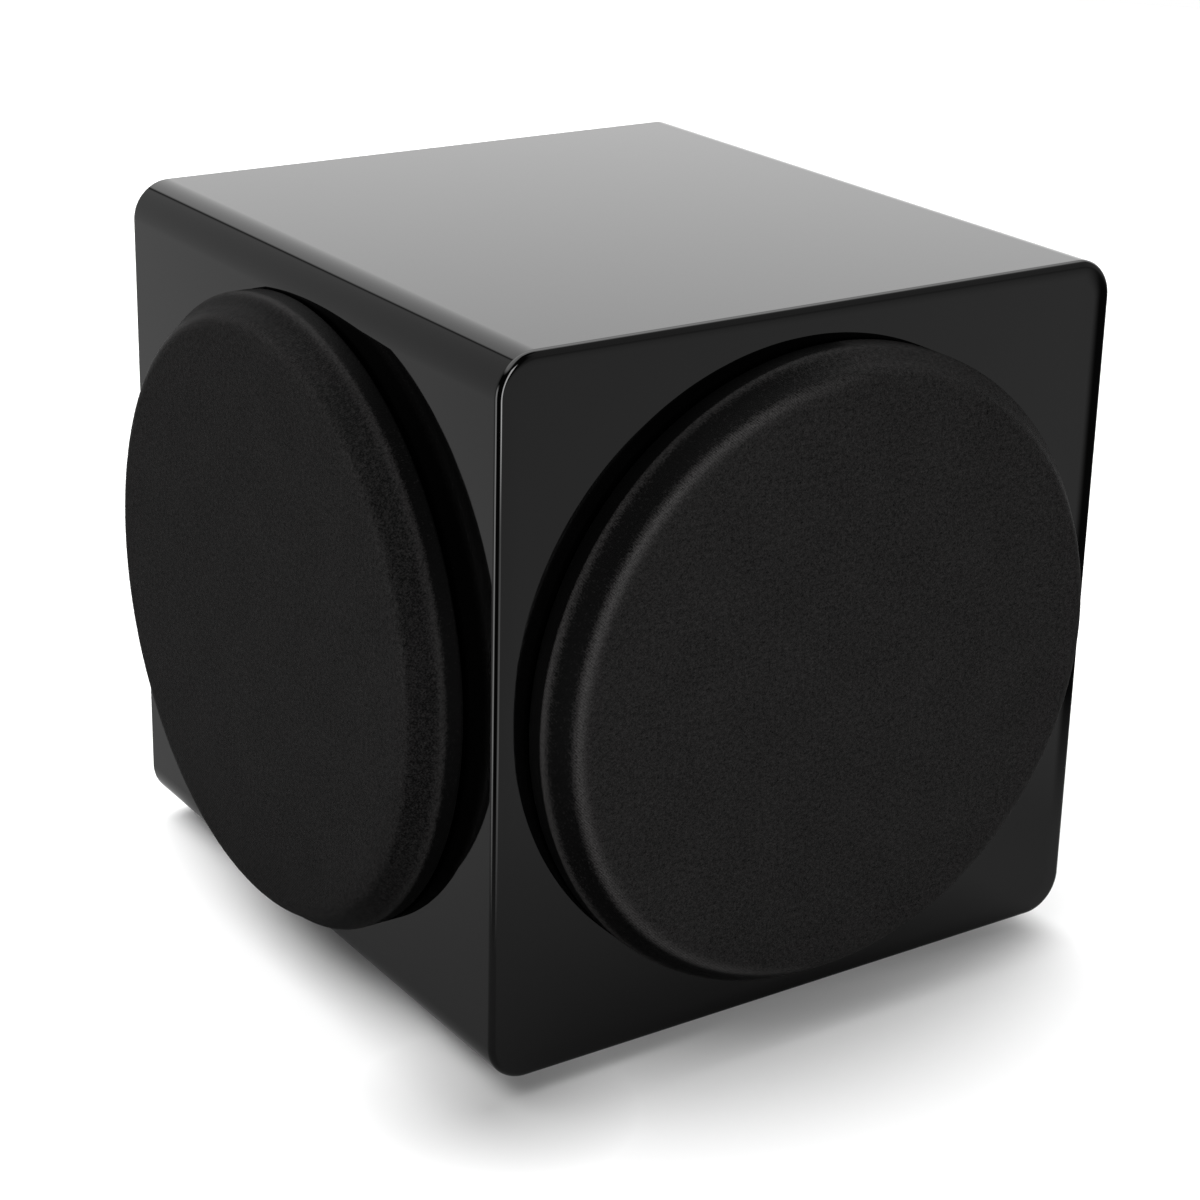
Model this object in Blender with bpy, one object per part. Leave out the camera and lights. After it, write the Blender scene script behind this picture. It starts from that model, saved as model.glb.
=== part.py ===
"""Compact cube subwoofer: a lacquered cabinet with an active driver on its front face, a passive
radiator on the side face next to it, a round cloth grille over each, and an amplifier at the back.

Metres, +Z up. The front face looks along -Y and the passive radiator along -X. The origin is on the
floor, under the middle of the whole object's bounding box.
"""

import math

import bmesh
import bpy
from mathutils import Vector

# Cabinet
CABINET_WIDTH = 0.278
CABINET_DEPTH = 0.290
CABINET_HEIGHT = 0.280
WALL = 0.015
CORNER_RADIUS = 0.016
EDGE_RADIUS = 0.0019
FOOT_HEIGHT = 0.008
GAP = 0.0003

# Grilles, measured from the face that they stand on
GRILLE_RADIUS = 0.125
GRILLE_PROUD = 0.0215
GRILLE_SHOULDER = 0.0135
PLATEAU_RADIUS = 0.1145
GRILLE_SOFTNESS = 0.0012
GRILLE_STANDOFF = 0.0008
GRILLE_SIDES = 40
WINDOW_RADIUS = 0.109
CLOTH_RADIUS = 0.1118
CLOTH = 0.0008
PEG_CIRCLE = 0.114
PEG_RADIUS = 0.0024
CUP_RADIUS = 0.0039

# Driver and passive radiator, both of the same frame size
FLANGE_RADIUS = 0.106
RECESS_RADIUS = 0.1065
RECESS_DEPTH = 0.005
CUTOUT_RADIUS = 0.0935
ROLL_CENTRE = 0.078
ROLL_RADIUS = 0.008
CONE_RADIUS = 0.070
COIL_RADIUS = 0.0249

# Amplifier at the back: the heatsink's fins are its highest feature
REAR_PROUD = 0.024
PLATE_WIDTH = 0.212
PLATE_HEIGHT = 0.222
PLATE_FRONT = 0.0016
PLATE_TOP = 0.0046
ON_PLATE = PLATE_TOP + GAP
WINDOW_WIDTH = 0.184
WINDOW_HEIGHT = 0.194
SCREW_ACROSS = 0.0995
SCREW_UP = 0.1045
HEATSINK = (-0.094, -0.004, -0.022, 0.096)
LEVEL_AT = (0.034, 0.082)
CROSSOVER_AT = (0.074, 0.082)
PHASE_AT = (0.034, 0.046)
MODE_AT = (0.074, 0.046)
LENS_AT = (0.054, 0.046)
JACKS_AT = {"line_jack_left": (0.034, 0.012), "line_jack_right": (0.062, 0.012)}
INLET_AT = (0.062, -0.072)
ROCKER_AT = (0.020, -0.066)
TRANSFORMER_AT = (-0.046, -0.052)
KNOB_SHAFT_END = -0.0060
SLIDER_END = -0.0026
ROCKER_TILT = math.radians(8)
ROCKER_AXIS = 0.0045

AXIS_HEIGHT = FOOT_HEIGHT + CABINET_HEIGHT / 2
CABINET_X = GRILLE_PROUD / 2
CABINET_Y = (GRILLE_PROUD - REAR_PROUD) / 2
PAST = 0.010  # how far a cutter runs beyond the face it starts from


def clear_scene():
    for obj in list(bpy.data.objects):
        bpy.data.objects.remove(obj)


def material(name, color, roughness, metallic=0.0):
    made = bpy.data.materials.new(name)
    made.use_nodes = True
    shader = made.node_tree.nodes["Principled BSDF"]
    shader.inputs["Base Color"].default_value = (*color, 1)
    shader.inputs["Roughness"].default_value = roughness
    shader.inputs["Metallic"].default_value = metallic
    return made


def make_materials():
    return {
        "lacquer": material("gloss_lacquer", (0.004, 0.004, 0.004), 0.05),
        "board": material("raw_fibreboard", (0.36, 0.25, 0.15), 0.8),
        "grille_cloth": material("grille_cloth", (0.012, 0.011, 0.011), 0.9),
        "grille_plastic": material("grille_plastic", (0.02, 0.02, 0.02), 0.6),
        "rubber": material("rubber", (0.015, 0.015, 0.015), 0.7),
        "foam": material("sealing_foam", (0.03, 0.03, 0.03), 0.95),
        "cast": material("cast_basket", (0.03, 0.03, 0.032), 0.5, 0.3),
        "cone": material("cone_pulp", (0.025, 0.025, 0.027), 0.55),
        "former": material("coil_former", (0.55, 0.42, 0.22), 0.5),
        "copper": material("copper_winding", (0.75, 0.33, 0.14), 0.35, 1.0),
        "spider": material("spider_cloth", (0.62, 0.45, 0.16), 0.85),
        "steel": material("plated_steel", (0.55, 0.55, 0.56), 0.35, 1.0),
        "ferrite": material("ferrite", (0.05, 0.05, 0.052), 0.6),
        "plate": material("amplifier_plate", (0.02, 0.02, 0.02), 0.45, 0.4),
        "aluminium": material("black_anodised", (0.03, 0.03, 0.03), 0.4, 0.8),
        "plastic": material("moulded_plastic", (0.02, 0.02, 0.02), 0.45),
        "lens": material("status_lens", (0.1, 0.6, 0.15), 0.15),
        "circuit": material("circuit_board", (0.02, 0.16, 0.06), 0.5),
        "can": material("capacitor_can", (0.04, 0.05, 0.09), 0.35),
        "wrap": material("transformer_wrap", (0.75, 0.6, 0.2), 0.5),
        "wadding": material("wadding", (0.8, 0.79, 0.76), 0.95),
        "lead": material("lead_jacket", (0.5, 0.02, 0.02), 0.5),
    }


def empty(name, parent=None, location=(0, 0, 0), rotation=(0, 0, 0)):
    made = bpy.data.objects.new(name, None)
    bpy.context.scene.collection.objects.link(made)
    made.parent = parent
    made.location = location
    made.rotation_euler = rotation
    return made


def piece(name, mesh, parent, finish=None, location=(0, 0, 0), rotation=(0, 0, 0), smooth=True):
    made = bpy.data.objects.new(name, mesh)
    bpy.context.scene.collection.objects.link(made)
    made.parent = parent
    made.location = location
    made.rotation_euler = rotation
    if finish and not mesh.materials:
        mesh.materials.append(finish)
    if smooth:
        mesh.shade_smooth()
        mesh.set_sharp_from_angle(angle=math.radians(35))
    return made


def mesh_from(build, name):
    bm = bmesh.new()
    build(bm)
    bmesh.ops.recalc_face_normals(bm, faces=bm.faces)
    mesh = bpy.data.meshes.new(name)
    bm.to_mesh(mesh)
    bm.free()
    return mesh


def turned(name, profile, segments=32):
    """A mesh turned about Z from (radius, height) points: a closed loop, or a chain from pole to pole."""
    closed = profile[0][0] > 0

    def build(bm):
        rings = []
        for radius, height in profile:
            around = segments if radius > 0 else 1
            turns = [2 * math.pi * k / segments for k in range(around)]
            places = [(radius * math.cos(t), radius * math.sin(t), height) for t in turns]
            rings.append([bm.verts.new(place) for place in places])
        pairs = list(zip(rings, rings[1:]))
        if closed:
            pairs.append((rings[-1], rings[0]))
        for first, second in pairs:
            for k in range(segments):
                n = (k + 1) % segments
                corners = [first[k % len(first)], first[n % len(first)]]
                corners += [second[n % len(second)], second[k % len(second)]]
                corners = list(dict.fromkeys(corners))
                if len(corners) > 2:
                    bm.faces.new(corners)

    return mesh_from(build, name)


def prism(name, outline, low, high):
    """A mesh with an (x, y) outline, extruded along Z from low to high."""

    def build(bm):
        face = bm.faces.new([bm.verts.new((x, y, low)) for x, y in outline])
        moved = bmesh.ops.extrude_face_region(bm, geom=[face])["geom"]
        corners = [item for item in moved if isinstance(item, bmesh.types.BMVert)]
        bmesh.ops.translate(bm, verts=corners, vec=(0, 0, high - low))

    return mesh_from(build, name)


def block(name, low, high):
    corners = [(low[0], low[1]), (high[0], low[1]), (high[0], high[1]), (low[0], high[1])]
    return prism(name, corners, low[2], high[2])


def ring(outer, inner, low, high):
    return [(outer, low), (outer, high), (inner, high), (inner, low)]


def disc(radius, low, high):
    return [(0, high), (radius, high), (radius, low), (0, low)]


def rounded_outline(width, height, radius, steps):
    points = []
    for quarter, (sx, sy) in enumerate(((1, 1), (-1, 1), (-1, -1), (1, -1))):
        for k in range(steps + 1):
            turn = math.pi / 2 * (quarter + k / steps)
            x = sx * (width / 2 - radius) + radius * math.cos(turn)
            y = sy * (height / 2 - radius) + radius * math.sin(turn)
            points.append((x, y))
    return points


def hide(helper):
    helper.hide_render = True
    helper.display_type = "WIRE"


def combine(target, helper, operation):
    """Leaves a Boolean on the target, and keeps its helper out of the model."""
    hide(helper)
    change = target.modifiers.new(f"{operation.lower()} {helper.name}", "BOOLEAN")
    change.operation = operation
    change.object = helper


def cut(target, helper):
    combine(target, helper, "DIFFERENCE")


def join(target, helper):
    combine(target, helper, "UNION")


def make_frames():
    """One empty for each face that carries parts: +Z of each points out of the cabinet."""
    cabinet = empty("cabinet_origin", None, (CABINET_X, CABINET_Y, 0))
    quarter = math.pi / 2
    front = empty("front_face", cabinet, (0, -CABINET_DEPTH / 2, AXIS_HEIGHT), (quarter, 0, 0))
    side = empty("side_face", cabinet, (-CABINET_WIDTH / 2, 0, AXIS_HEIGHT), (0, -quarter, 0))
    rear = empty("rear_face", cabinet, (0, CABINET_DEPTH / 2, AXIS_HEIGHT), (quarter, 0, math.pi))
    return cabinet, front, side, rear


def peg_places():
    turns = [math.radians(45 + 90 * k) for k in range(4)]
    return [(PEG_CIRCLE * math.cos(t), PEG_CIRCLE * math.sin(t), 0) for t in turns]


def make_cabinet(front, side, finish):
    outline = rounded_outline(CABINET_WIDTH, CABINET_HEIGHT, CORNER_RADIUS, 6)
    shell = prism("cabinet_body", outline, -CABINET_DEPTH, 0)
    body = piece("cabinet_body", shell, front, finish["lacquer"])
    edges = body.modifiers.new("softened rims", "BEVEL")
    edges.limit_method = "ANGLE"
    edges.angle_limit = math.radians(60)
    edges.width = EDGE_RADIUS
    edges.segments = 2
    half_width = CABINET_WIDTH / 2 - WALL
    half_height = CABINET_HEIGHT / 2 - WALL
    hollow = block(
        "hollow",
        (-half_width, -half_height, -CABINET_DEPTH - PAST),
        (half_width, half_height, -WALL),
    )
    cut(body, piece("cut_hollow", hollow, front))
    opening = turned(
        "opening",
        [
            (0, PAST),
            (RECESS_RADIUS, PAST),
            (RECESS_RADIUS, -RECESS_DEPTH),
            (CUTOUT_RADIUS, -RECESS_DEPTH),
            (CUTOUT_RADIUS, -WALL - PAST),
            (0, -WALL - PAST),
        ],
    )
    cup_hole = turned("cup_hole", disc(CUP_RADIUS + GAP, -0.011, PAST), 8)
    for face_name, face in (("front", front), ("side", side)):
        cut(body, piece(f"cut_{face_name}_opening", opening, face))
        for k, place in enumerate(peg_places()):
            cut(body, piece(f"cut_{face_name}_cup_{k + 1}", cup_hole, face, location=place))
    return body


def make_inner_boards(front, rear, finish):
    half_width = CABINET_WIDTH / 2 - WALL - GAP
    half_height = CABINET_HEIGHT / 2 - WALL - GAP
    panel = piece(
        "rear_panel",
        block("rear_panel", (-half_width, -half_height, -WALL), (half_width, half_height, -GAP)),
        rear,
        finish["board"],
        smooth=False,
    )
    window = block(
        "window",
        (-WINDOW_WIDTH / 2, -WINDOW_HEIGHT / 2, -WALL - PAST),
        (WINDOW_WIDTH / 2, WINDOW_HEIGHT / 2, PAST),
    )
    cut(panel, piece("cut_window", window, rear))
    bore_holes(panel, rear, 0.0022, -0.012, PAST, "panel")

    bar = 0.022
    post = half_width - 0.026
    inside = half_height - bar
    outline = [
        (-half_width, -half_height),
        (half_width, -half_height),
        (half_width, half_height),
        (-half_width, half_height),
        (-half_width, inside),
        (post, inside),
        (post, -inside),
        (-half_width, -inside),
    ]
    behind = CABINET_DEPTH / 2 + 0.012
    brace = prism("cabinet_brace", outline, -behind - WALL, -behind)
    piece("cabinet_brace", brace, front, finish["board"], smooth=False)

    pad = block(
        "damping_pad",
        (half_width - 0.018, -half_height + 0.006, -behind + 0.004),
        (half_width, half_height - 0.006, -0.034),
    )
    piece("damping_pad", pad, front, finish["wadding"], smooth=False)


def bore_holes(target, face, radius, low, high, label):
    """Four screw holes, one in each corner of the amplifier's plate."""
    hole = turned(f"{label}_hole", disc(radius, low, high), 12)
    for k, (sx, sy) in enumerate(((1, 1), (-1, 1), (-1, -1), (1, -1))):
        place = (sx * SCREW_ACROSS, sy * SCREW_UP, 0)
        cut(target, piece(f"cut_{label}_hole_{k + 1}", hole, face, location=place))


def make_feet(cabinet, finish):
    profile = [
        (0, FOOT_HEIGHT - GAP),
        (0.0130, FOOT_HEIGHT - GAP),
        (0.0140, FOOT_HEIGHT - 0.0015),
        (0.0128, 0),
        (0, 0),
    ]
    mesh = turned("foot", profile, 20)
    across = CABINET_WIDTH / 2 - 0.035
    along = CABINET_DEPTH / 2 - 0.035
    places = {
        "foot_front_left": (-across, -along, 0),
        "foot_front_right": (across, -along, 0),
        "foot_rear_left": (-across, along, 0),
        "foot_rear_right": (across, along, 0),
    }
    for name, place in places.items():
        piece(name, mesh, cabinet, finish["rubber"], place)


def roll_profile(centre, radius, thickness, lip, outer, inner, steps=5):
    """A half-roll with a flat lip on each side; lip is the height of the lips' underside."""
    middle = lip + thickness / 2
    turns = [math.radians(6 + 168 * k / (steps - 1)) for k in range(steps)]
    above = radius + thickness / 2
    below = radius - thickness / 2
    points = [(outer, lip + thickness)]
    points += [(centre + above * math.cos(t), middle + above * math.sin(t)) for t in turns]
    points += [(inner, lip + thickness), (inner, lip), (centre - below - 0.0006, lip)]
    points += [(centre + below * math.cos(t), middle + below * math.sin(t)) for t in reversed(turns)]
    points += [(centre + below + 0.0006, lip), (outer, lip)]
    return points


def make_surround(name, face, finish):
    mesh = turned(name, roll_profile(ROLL_CENTRE, ROLL_RADIUS, 0.001, -GAP, 0.092, 0.064))
    piece(name, mesh, face, finish["rubber"])


def make_seal(name, face, finish):
    mesh = turned(name, ring(FLANGE_RADIUS - 0.0005, CUTOUT_RADIUS + 0.001, -0.0047, -0.0039))
    piece(name, mesh, face, finish["foam"])


def make_basket(front, finish):
    profile = [
        (FLANGE_RADIUS, -0.0006),
        (FLANGE_RADIUS, -0.0036),
        (0.0925, -0.0036),
        (0.0668, -0.0465),
        (0.0600, -0.0465),
        (0.0600, -0.0560),
        (0.0280, -0.0560),
        (0.0280, -0.0535),
        (0.0575, -0.0535),
        (0.0575, -0.0440),
        (0.0640, -0.0440),
        (0.0886, -0.0030),
        (0.0840, -0.0030),
        (0.0840, -0.0006),
    ]
    basket = piece("woofer_basket", turned("woofer_basket", profile), front, finish["cast"])
    slot = block("slot", (-0.110, -0.015, -0.038), (0.110, 0.015, -0.012))
    for k in range(4):
        turn = math.radians(22.5 + 45 * k)
        cut(basket, piece(f"cut_basket_windows_{k + 1}", slot, front, rotation=(0, 0, turn)))


def make_motor(front, finish):
    plate = turned("woofer_top_plate", ring(0.055, 0.0273, -0.0643, -0.0563))
    piece("woofer_top_plate", plate, front, finish["steel"])
    magnet = turned("woofer_magnet", ring(0.060, 0.031, -0.0849, -0.0646))
    piece("woofer_magnet", magnet, front, finish["ferrite"])
    yoke = [
        (0.006, -0.0555),
        (0.0242, -0.0555),
        (0.0242, -0.0852),
        (0.0550, -0.0852),
        (0.0550, -0.0932),
        (0.006, -0.0932),
    ]
    piece("woofer_yoke", turned("woofer_yoke", yoke), front, finish["steel"])
    terminal = block("woofer_terminal", (0.0606, -0.008, -0.053), (0.0720, 0.008, -0.0470))
    piece("woofer_terminal", terminal, front, finish["plastic"], smooth=False)


def spider_profile():
    """A corrugated disc between the coil's former and the ledge in the basket."""
    thickness, level, inner, outer = 0.0007, -0.0436, 0.0258, 0.0632
    waves, start, end, swing = 2, 0.0290, 0.0560, 0.0013
    steps = 4 * waves
    lower = [(inner, level)]
    for k in range(steps + 1):
        phase = 2 * math.pi * waves * k / steps
        lower.append((start + (end - start) * k / steps, level + swing * (1 - math.cos(phase))))
    lower.append((outer, level))
    upper = [(r, z + thickness) for r, z in reversed(lower)]
    return lower + upper


def make_woofer_moving_parts(front, finish):
    cone = [
        (CONE_RADIUS, -0.0006),
        (CONE_RADIUS, -0.0018),
        (0.0644, -0.0018),
        (0.0262, -0.0354),
        (0.0262, -0.0339),
        (0.0640, -0.0006),
    ]
    piece("woofer_cone", turned("woofer_cone", cone), front, finish["cone"])
    dome, rim, apex, steps = 0.050, 0.030, -0.019, 4
    turns = [math.asin(rim / dome) * k / steps for k in range(steps + 1)]
    outside = [(dome * math.sin(t), apex - dome * (1 - math.cos(t))) for t in turns]
    inside = [(r * 0.98, z - 0.0009) for r, z in reversed(outside)]
    piece("woofer_dust_cap", turned("woofer_dust_cap", outside + inside), front, finish["cone"])
    former = turned("coil_former", ring(COIL_RADIUS + 0.0005, COIL_RADIUS, -0.0720, -0.0340), 24)
    piece("coil_former", former, front, finish["former"])
    winding = turned("coil_winding", ring(COIL_RADIUS + 0.0018, COIL_RADIUS + 0.0008, -0.0705, -0.0505), 24)
    piece("coil_winding", winding, front, finish["copper"])
    piece("woofer_spider", turned("woofer_spider", spider_profile(), 24), front, finish["spider"])


def make_passive_radiator(side, finish):
    frame = [
        (FLANGE_RADIUS, -0.0006),
        (FLANGE_RADIUS, -0.0036),
        (0.0925, -0.0036),
        (0.0925, -0.0200),
        (0.0895, -0.0200),
        (0.0895, -0.0030),
        (0.0840, -0.0030),
        (0.0840, -0.0006),
    ]
    piece("radiator_frame", turned("radiator_frame", frame), side, finish["cast"])
    diaphragm = [
        (0, -0.0054),
        (0.0520, -0.0054),
        (0.0590, -0.0006),
        (CONE_RADIUS, -0.0006),
        (CONE_RADIUS, -0.0018),
        (0.0600, -0.0018),
        (0.0530, -0.0074),
        (0, -0.0074),
    ]
    piece("radiator_diaphragm", turned("radiator_diaphragm", diaphragm), side, finish["cone"])
    weight = turned("radiator_weight", disc(0.024, -0.0157, -0.0077), 24)
    piece("radiator_weight", weight, side, finish["steel"])


def grille_profile():
    """The grille's outer face as (radius, height), from the edge of its flat front down to its foot."""
    run = GRILLE_RADIUS - PLATEAU_RADIUS
    rise = GRILLE_PROUD - GRILLE_SHOULDER
    slope = math.hypot(run, rise)
    soft_run = GRILLE_SOFTNESS * run / slope
    soft_rise = GRILLE_SOFTNESS * rise / slope
    return [
        (PLATEAU_RADIUS - GRILLE_SOFTNESS, GRILLE_PROUD),
        (PLATEAU_RADIUS + soft_run, GRILLE_PROUD - soft_rise),
        (GRILLE_RADIUS - soft_run, GRILLE_SHOULDER + soft_rise),
        (GRILLE_RADIUS, GRILLE_SHOULDER - GRILLE_SOFTNESS),
        (GRILLE_RADIUS, GRILLE_STANDOFF),
    ]


def make_grille(label, face, finish):
    """A hoop with four pegs, and the cloth stretched across its opening."""
    flat = disc(CLOTH_RADIUS, GRILLE_PROUD - CLOTH, GRILLE_PROUD)
    cloth = turned(f"{label}_grille_cloth", flat, GRILLE_SIDES)
    piece(f"{label}_grille_cloth", cloth, face, finish["grille_cloth"])

    ledge = GRILLE_PROUD - CLOTH - GAP
    seat = CLOTH_RADIUS + GAP
    profile = [
        (WINDOW_RADIUS, GRILLE_STANDOFF),
        (WINDOW_RADIUS, ledge),
        (seat, ledge),
        (seat, GRILLE_PROUD),
        *grille_profile(),
    ]
    hoop = turned(f"{label}_grille_frame", profile, GRILLE_SIDES)
    frame = piece(f"{label}_grille_frame", hoop, face, finish["grille_plastic"])
    peg = turned("grille_peg", disc(PEG_RADIUS, -0.008, 0.004), 8)
    cup = turned(
        "peg_cup",
        [
            (0, -0.0105),
            (CUP_RADIUS, -0.0105),
            (CUP_RADIUS, -GAP),
            (PEG_RADIUS + GAP, -GAP),
            (PEG_RADIUS + GAP, -0.0092),
            (0, -0.0092),
        ],
        8,
    )
    for k, place in enumerate(peg_places()):
        join(frame, piece(f"add_{label}_peg_{k + 1}", peg, face, location=place))
        piece(f"{label}_peg_cup_{k + 1}", cup, face, finish["rubber"], place)


def make_amplifier_plate(rear, finish):
    half_width, half_height = PLATE_WIDTH / 2, PLATE_HEIGHT / 2
    sheet = block(
        "amplifier_plate",
        (-half_width, -half_height, PLATE_FRONT),
        (half_width, half_height, PLATE_TOP),
    )
    plate = piece("amplifier_plate", sheet, rear, finish["plate"], smooth=False)
    bore_holes(plate, rear, 0.0022, -PAST, PAST, "plate")
    round_holes = {LEVEL_AT: 0.0040, CROSSOVER_AT: 0.0040, LENS_AT: 0.0024}
    round_holes.update({place: 0.0051 for place in JACKS_AT.values()})
    for k, (place, radius) in enumerate(round_holes.items()):
        hole = turned("round_hole", disc(radius, -PAST, PAST), 16)
        cut(plate, piece(f"cut_round_hole_{k + 1}", hole, rear, location=(*place, 0)))
    square_holes = {
        PHASE_AT: (-0.0048, -0.0020, 0.0048, 0.0020),
        MODE_AT: (-0.0060, -0.0020, 0.0060, 0.0020),
        INLET_AT: (-0.0142, -0.0119, 0.0142, 0.0199),
        ROCKER_AT: (-0.0098, -0.0138, 0.0098, 0.0138),
    }
    for k, (place, (left, bottom, right, top)) in enumerate(square_holes.items()):
        hole = block("square_hole", (left, bottom, -PAST), (right, top, PAST))
        cut(plate, piece(f"cut_square_hole_{k + 1}", hole, rear, location=(*place, 0)))

    seal = piece(
        "amplifier_seal",
        block("amplifier_seal", (-0.1045, -0.1095, 0), (0.1045, 0.1095, PLATE_FRONT - GAP)),
        rear,
        finish["foam"],
        smooth=False,
    )
    window = block("seal_window", (-0.0945, -0.0995, -PAST), (0.0945, 0.0995, PAST))
    cut(seal, piece("cut_seal", window, rear))
    bore_holes(seal, rear, 0.0022, -PAST, PAST, "seal")

    screw = turned(
        "plate_screw",
        [
            (0, ON_PLATE + 0.0022),
            (0.0024, ON_PLATE + 0.0020),
            (0.0036, ON_PLATE + 0.0009),
            (0.0036, ON_PLATE),
            (0.0018, ON_PLATE),
            (0.0018, -0.0105),
            (0, -0.0115),
        ],
        10,
    )
    for k, (sx, sy) in enumerate(((1, 1), (-1, 1), (-1, -1), (1, -1))):
        place = (sx * SCREW_ACROSS, sy * SCREW_UP, 0)
        piece(f"plate_screw_{k + 1}", screw, rear, finish["steel"], place)


def make_heatsink(rear, finish):
    """A comb outline across the plate, extruded upwards."""
    left, right, bottom, top = HEATSINK
    fins, fin_width, base = 12, 0.0018, 0.0035
    pitch = (right - left - fin_width) / (fins - 1)
    outline = [(left, ON_PLATE), (right, ON_PLATE)]
    for k in reversed(range(fins)):
        x = left + pitch * k
        if k < fins - 1:
            outline.append((x + fin_width, ON_PLATE + base))
        outline += [(x + fin_width, REAR_PROUD), (x, REAR_PROUD)]
        if k > 0:
            outline.append((x, ON_PLATE + base))
    mesh = prism("heatsink", outline, -top, -bottom)
    piece("heatsink", mesh, rear, finish["aluminium"], rotation=(math.pi / 2, 0, 0), smooth=False)


def make_knobs(rear, finish):
    profile = [
        (0, 0.0190),
        (0.0090, 0.0190),
        (0.0100, 0.0180),
        (0.0106, 0.0060),
        (0.0106, ON_PLATE + 0.0005),
        (0.0032, ON_PLATE + 0.0005),
        (0.0032, KNOB_SHAFT_END),
        (0, KNOB_SHAFT_END),
    ]
    for name, place in (("level_knob", LEVEL_AT), ("crossover_knob", CROSSOVER_AT)):
        knob = piece(name, turned(name, profile, 24), rear, finish["plastic"], (*place, 0))
        pointer = block("pointer", (-0.0008, 0.002, 0.0150), (0.0008, 0.0112, 0.0196))
        join(knob, piece(f"add_{name}_pointer", pointer, rear, location=(*place, 0)))


def make_sliders(rear, finish):
    """Two slide switches, each at the left end of its slot."""
    mesh = block("slider", (-0.0022, -0.0016, SLIDER_END), (0.0022, 0.0016, 0.0078))
    sliders = {"phase_slider": (PHASE_AT, 0.0022), "mode_slider": (MODE_AT, 0.0034)}
    for name, ((across, up), half_travel) in sliders.items():
        piece(name, mesh, rear, finish["plastic"], (across - half_travel, up, 0), smooth=False)
    lens = [(0, 0.0064), (0.0012, 0.0060), (0.0020, 0.0050), (0.0020, -0.0040), (0, -0.0040)]
    piece("status_lens", turned("status_lens", lens, 12), rear, finish["lens"], (*LENS_AT, 0))


def make_jacks(rear, finish):
    profile = [
        (0, -0.0090),
        (0.0047, -0.0090),
        (0.0047, ON_PLATE),
        (0.0066, ON_PLATE),
        (0.0066, ON_PLATE + 0.0018),
        (0.0042, ON_PLATE + 0.0018),
        (0.0042, 0.0140),
        (0.0018, 0.0140),
        (0.0018, 0.0030),
        (0, 0.0030),
    ]
    for name, place in JACKS_AT.items():
        piece(name, turned(name, profile, 16), rear, finish["steel"], (*place, 0))


def make_inlet(rear, finish):
    """A three-pin mains inlet with a fuse drawer above the pins."""
    place = (*INLET_AT, 0)
    inlet = piece(
        "mains_inlet",
        block("mains_inlet", (-0.0138, -0.0115, -0.0200), (0.0138, 0.0195, 0.0056)),
        rear,
        finish["plastic"],
        place,
        smooth=False,
    )
    flange = block("flange", (-0.0235, -0.0140, ON_PLATE), (0.0235, 0.0220, 0.0069))
    join(inlet, piece("add_inlet_flange", flange, rear, location=place))
    socket = [
        (-0.0122, -0.0084),
        (0.0122, -0.0084),
        (0.0122, 0.0040),
        (0.0080, 0.0084),
        (-0.0080, 0.0084),
        (-0.0122, 0.0040),
    ]
    cut(inlet, piece("cut_inlet_socket", prism("socket", socket, -0.0105, PAST), rear, location=place))
    pocket = block("pocket", (-0.0114, 0.0108, -0.0165), (0.0114, 0.0180, PAST))
    cut(inlet, piece("cut_fuse_pocket", pocket, rear, location=place))
    for k, (across, up) in enumerate(((-0.0070, -0.0020), (0, 0.0020), (0.0070, -0.0020))):
        pin = block("pin", (across - 0.0010, up - 0.0020, -0.0125), (across + 0.0010, up + 0.0020, 0.0010))
        join(inlet, piece(f"add_inlet_pin_{k + 1}", pin, rear, location=place))
    drawer = piece(
        "fuse_drawer",
        block("fuse_drawer", (-0.0109, 0.0113, -0.0158), (0.0109, 0.0175, 0.0080)),
        rear,
        finish["plastic"],
        place,
        smooth=False,
    )
    cradle = block("cradle", (-0.0085, 0.0140, -0.0130), (0.0085, 0.0200, 0.0020))
    cut(drawer, piece("cut_fuse_cradle", cradle, rear, location=place))


def make_rocker(rear, finish):
    place = (*ROCKER_AT, 0)
    housing = piece(
        "rocker_housing",
        block("rocker_housing", (-0.0094, -0.0134, -0.0140), (0.0094, 0.0134, 0.0056)),
        rear,
        finish["plastic"],
        place,
        smooth=False,
    )
    flange = block("rocker_flange", (-0.0110, -0.0155, ON_PLATE), (0.0110, 0.0155, 0.0066))
    join(housing, piece("add_rocker_flange", flange, rear, location=place))
    well = block("well", (-0.0070, -0.0114, -0.0045), (0.0070, 0.0114, PAST))
    cut(housing, piece("cut_rocker_well", well, rear, location=place))

    outline = [(-0.0102, -0.0040), (0.0102, -0.0040), (0.0102, 0.0034), (0, 0.0018), (-0.0102, 0.0034)]
    axis = empty(
        "rocker_axis",
        rear,
        (ROCKER_AT[0], ROCKER_AT[1], ROCKER_AXIS),
        (math.pi / 2, 0, math.pi / 2),
    )
    piece(
        "power_rocker",
        prism("power_rocker", outline, -0.0065, 0.0065),
        axis,
        finish["plastic"],
        rotation=(0, 0, ROCKER_TILT),
        smooth=False,
    )


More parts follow.
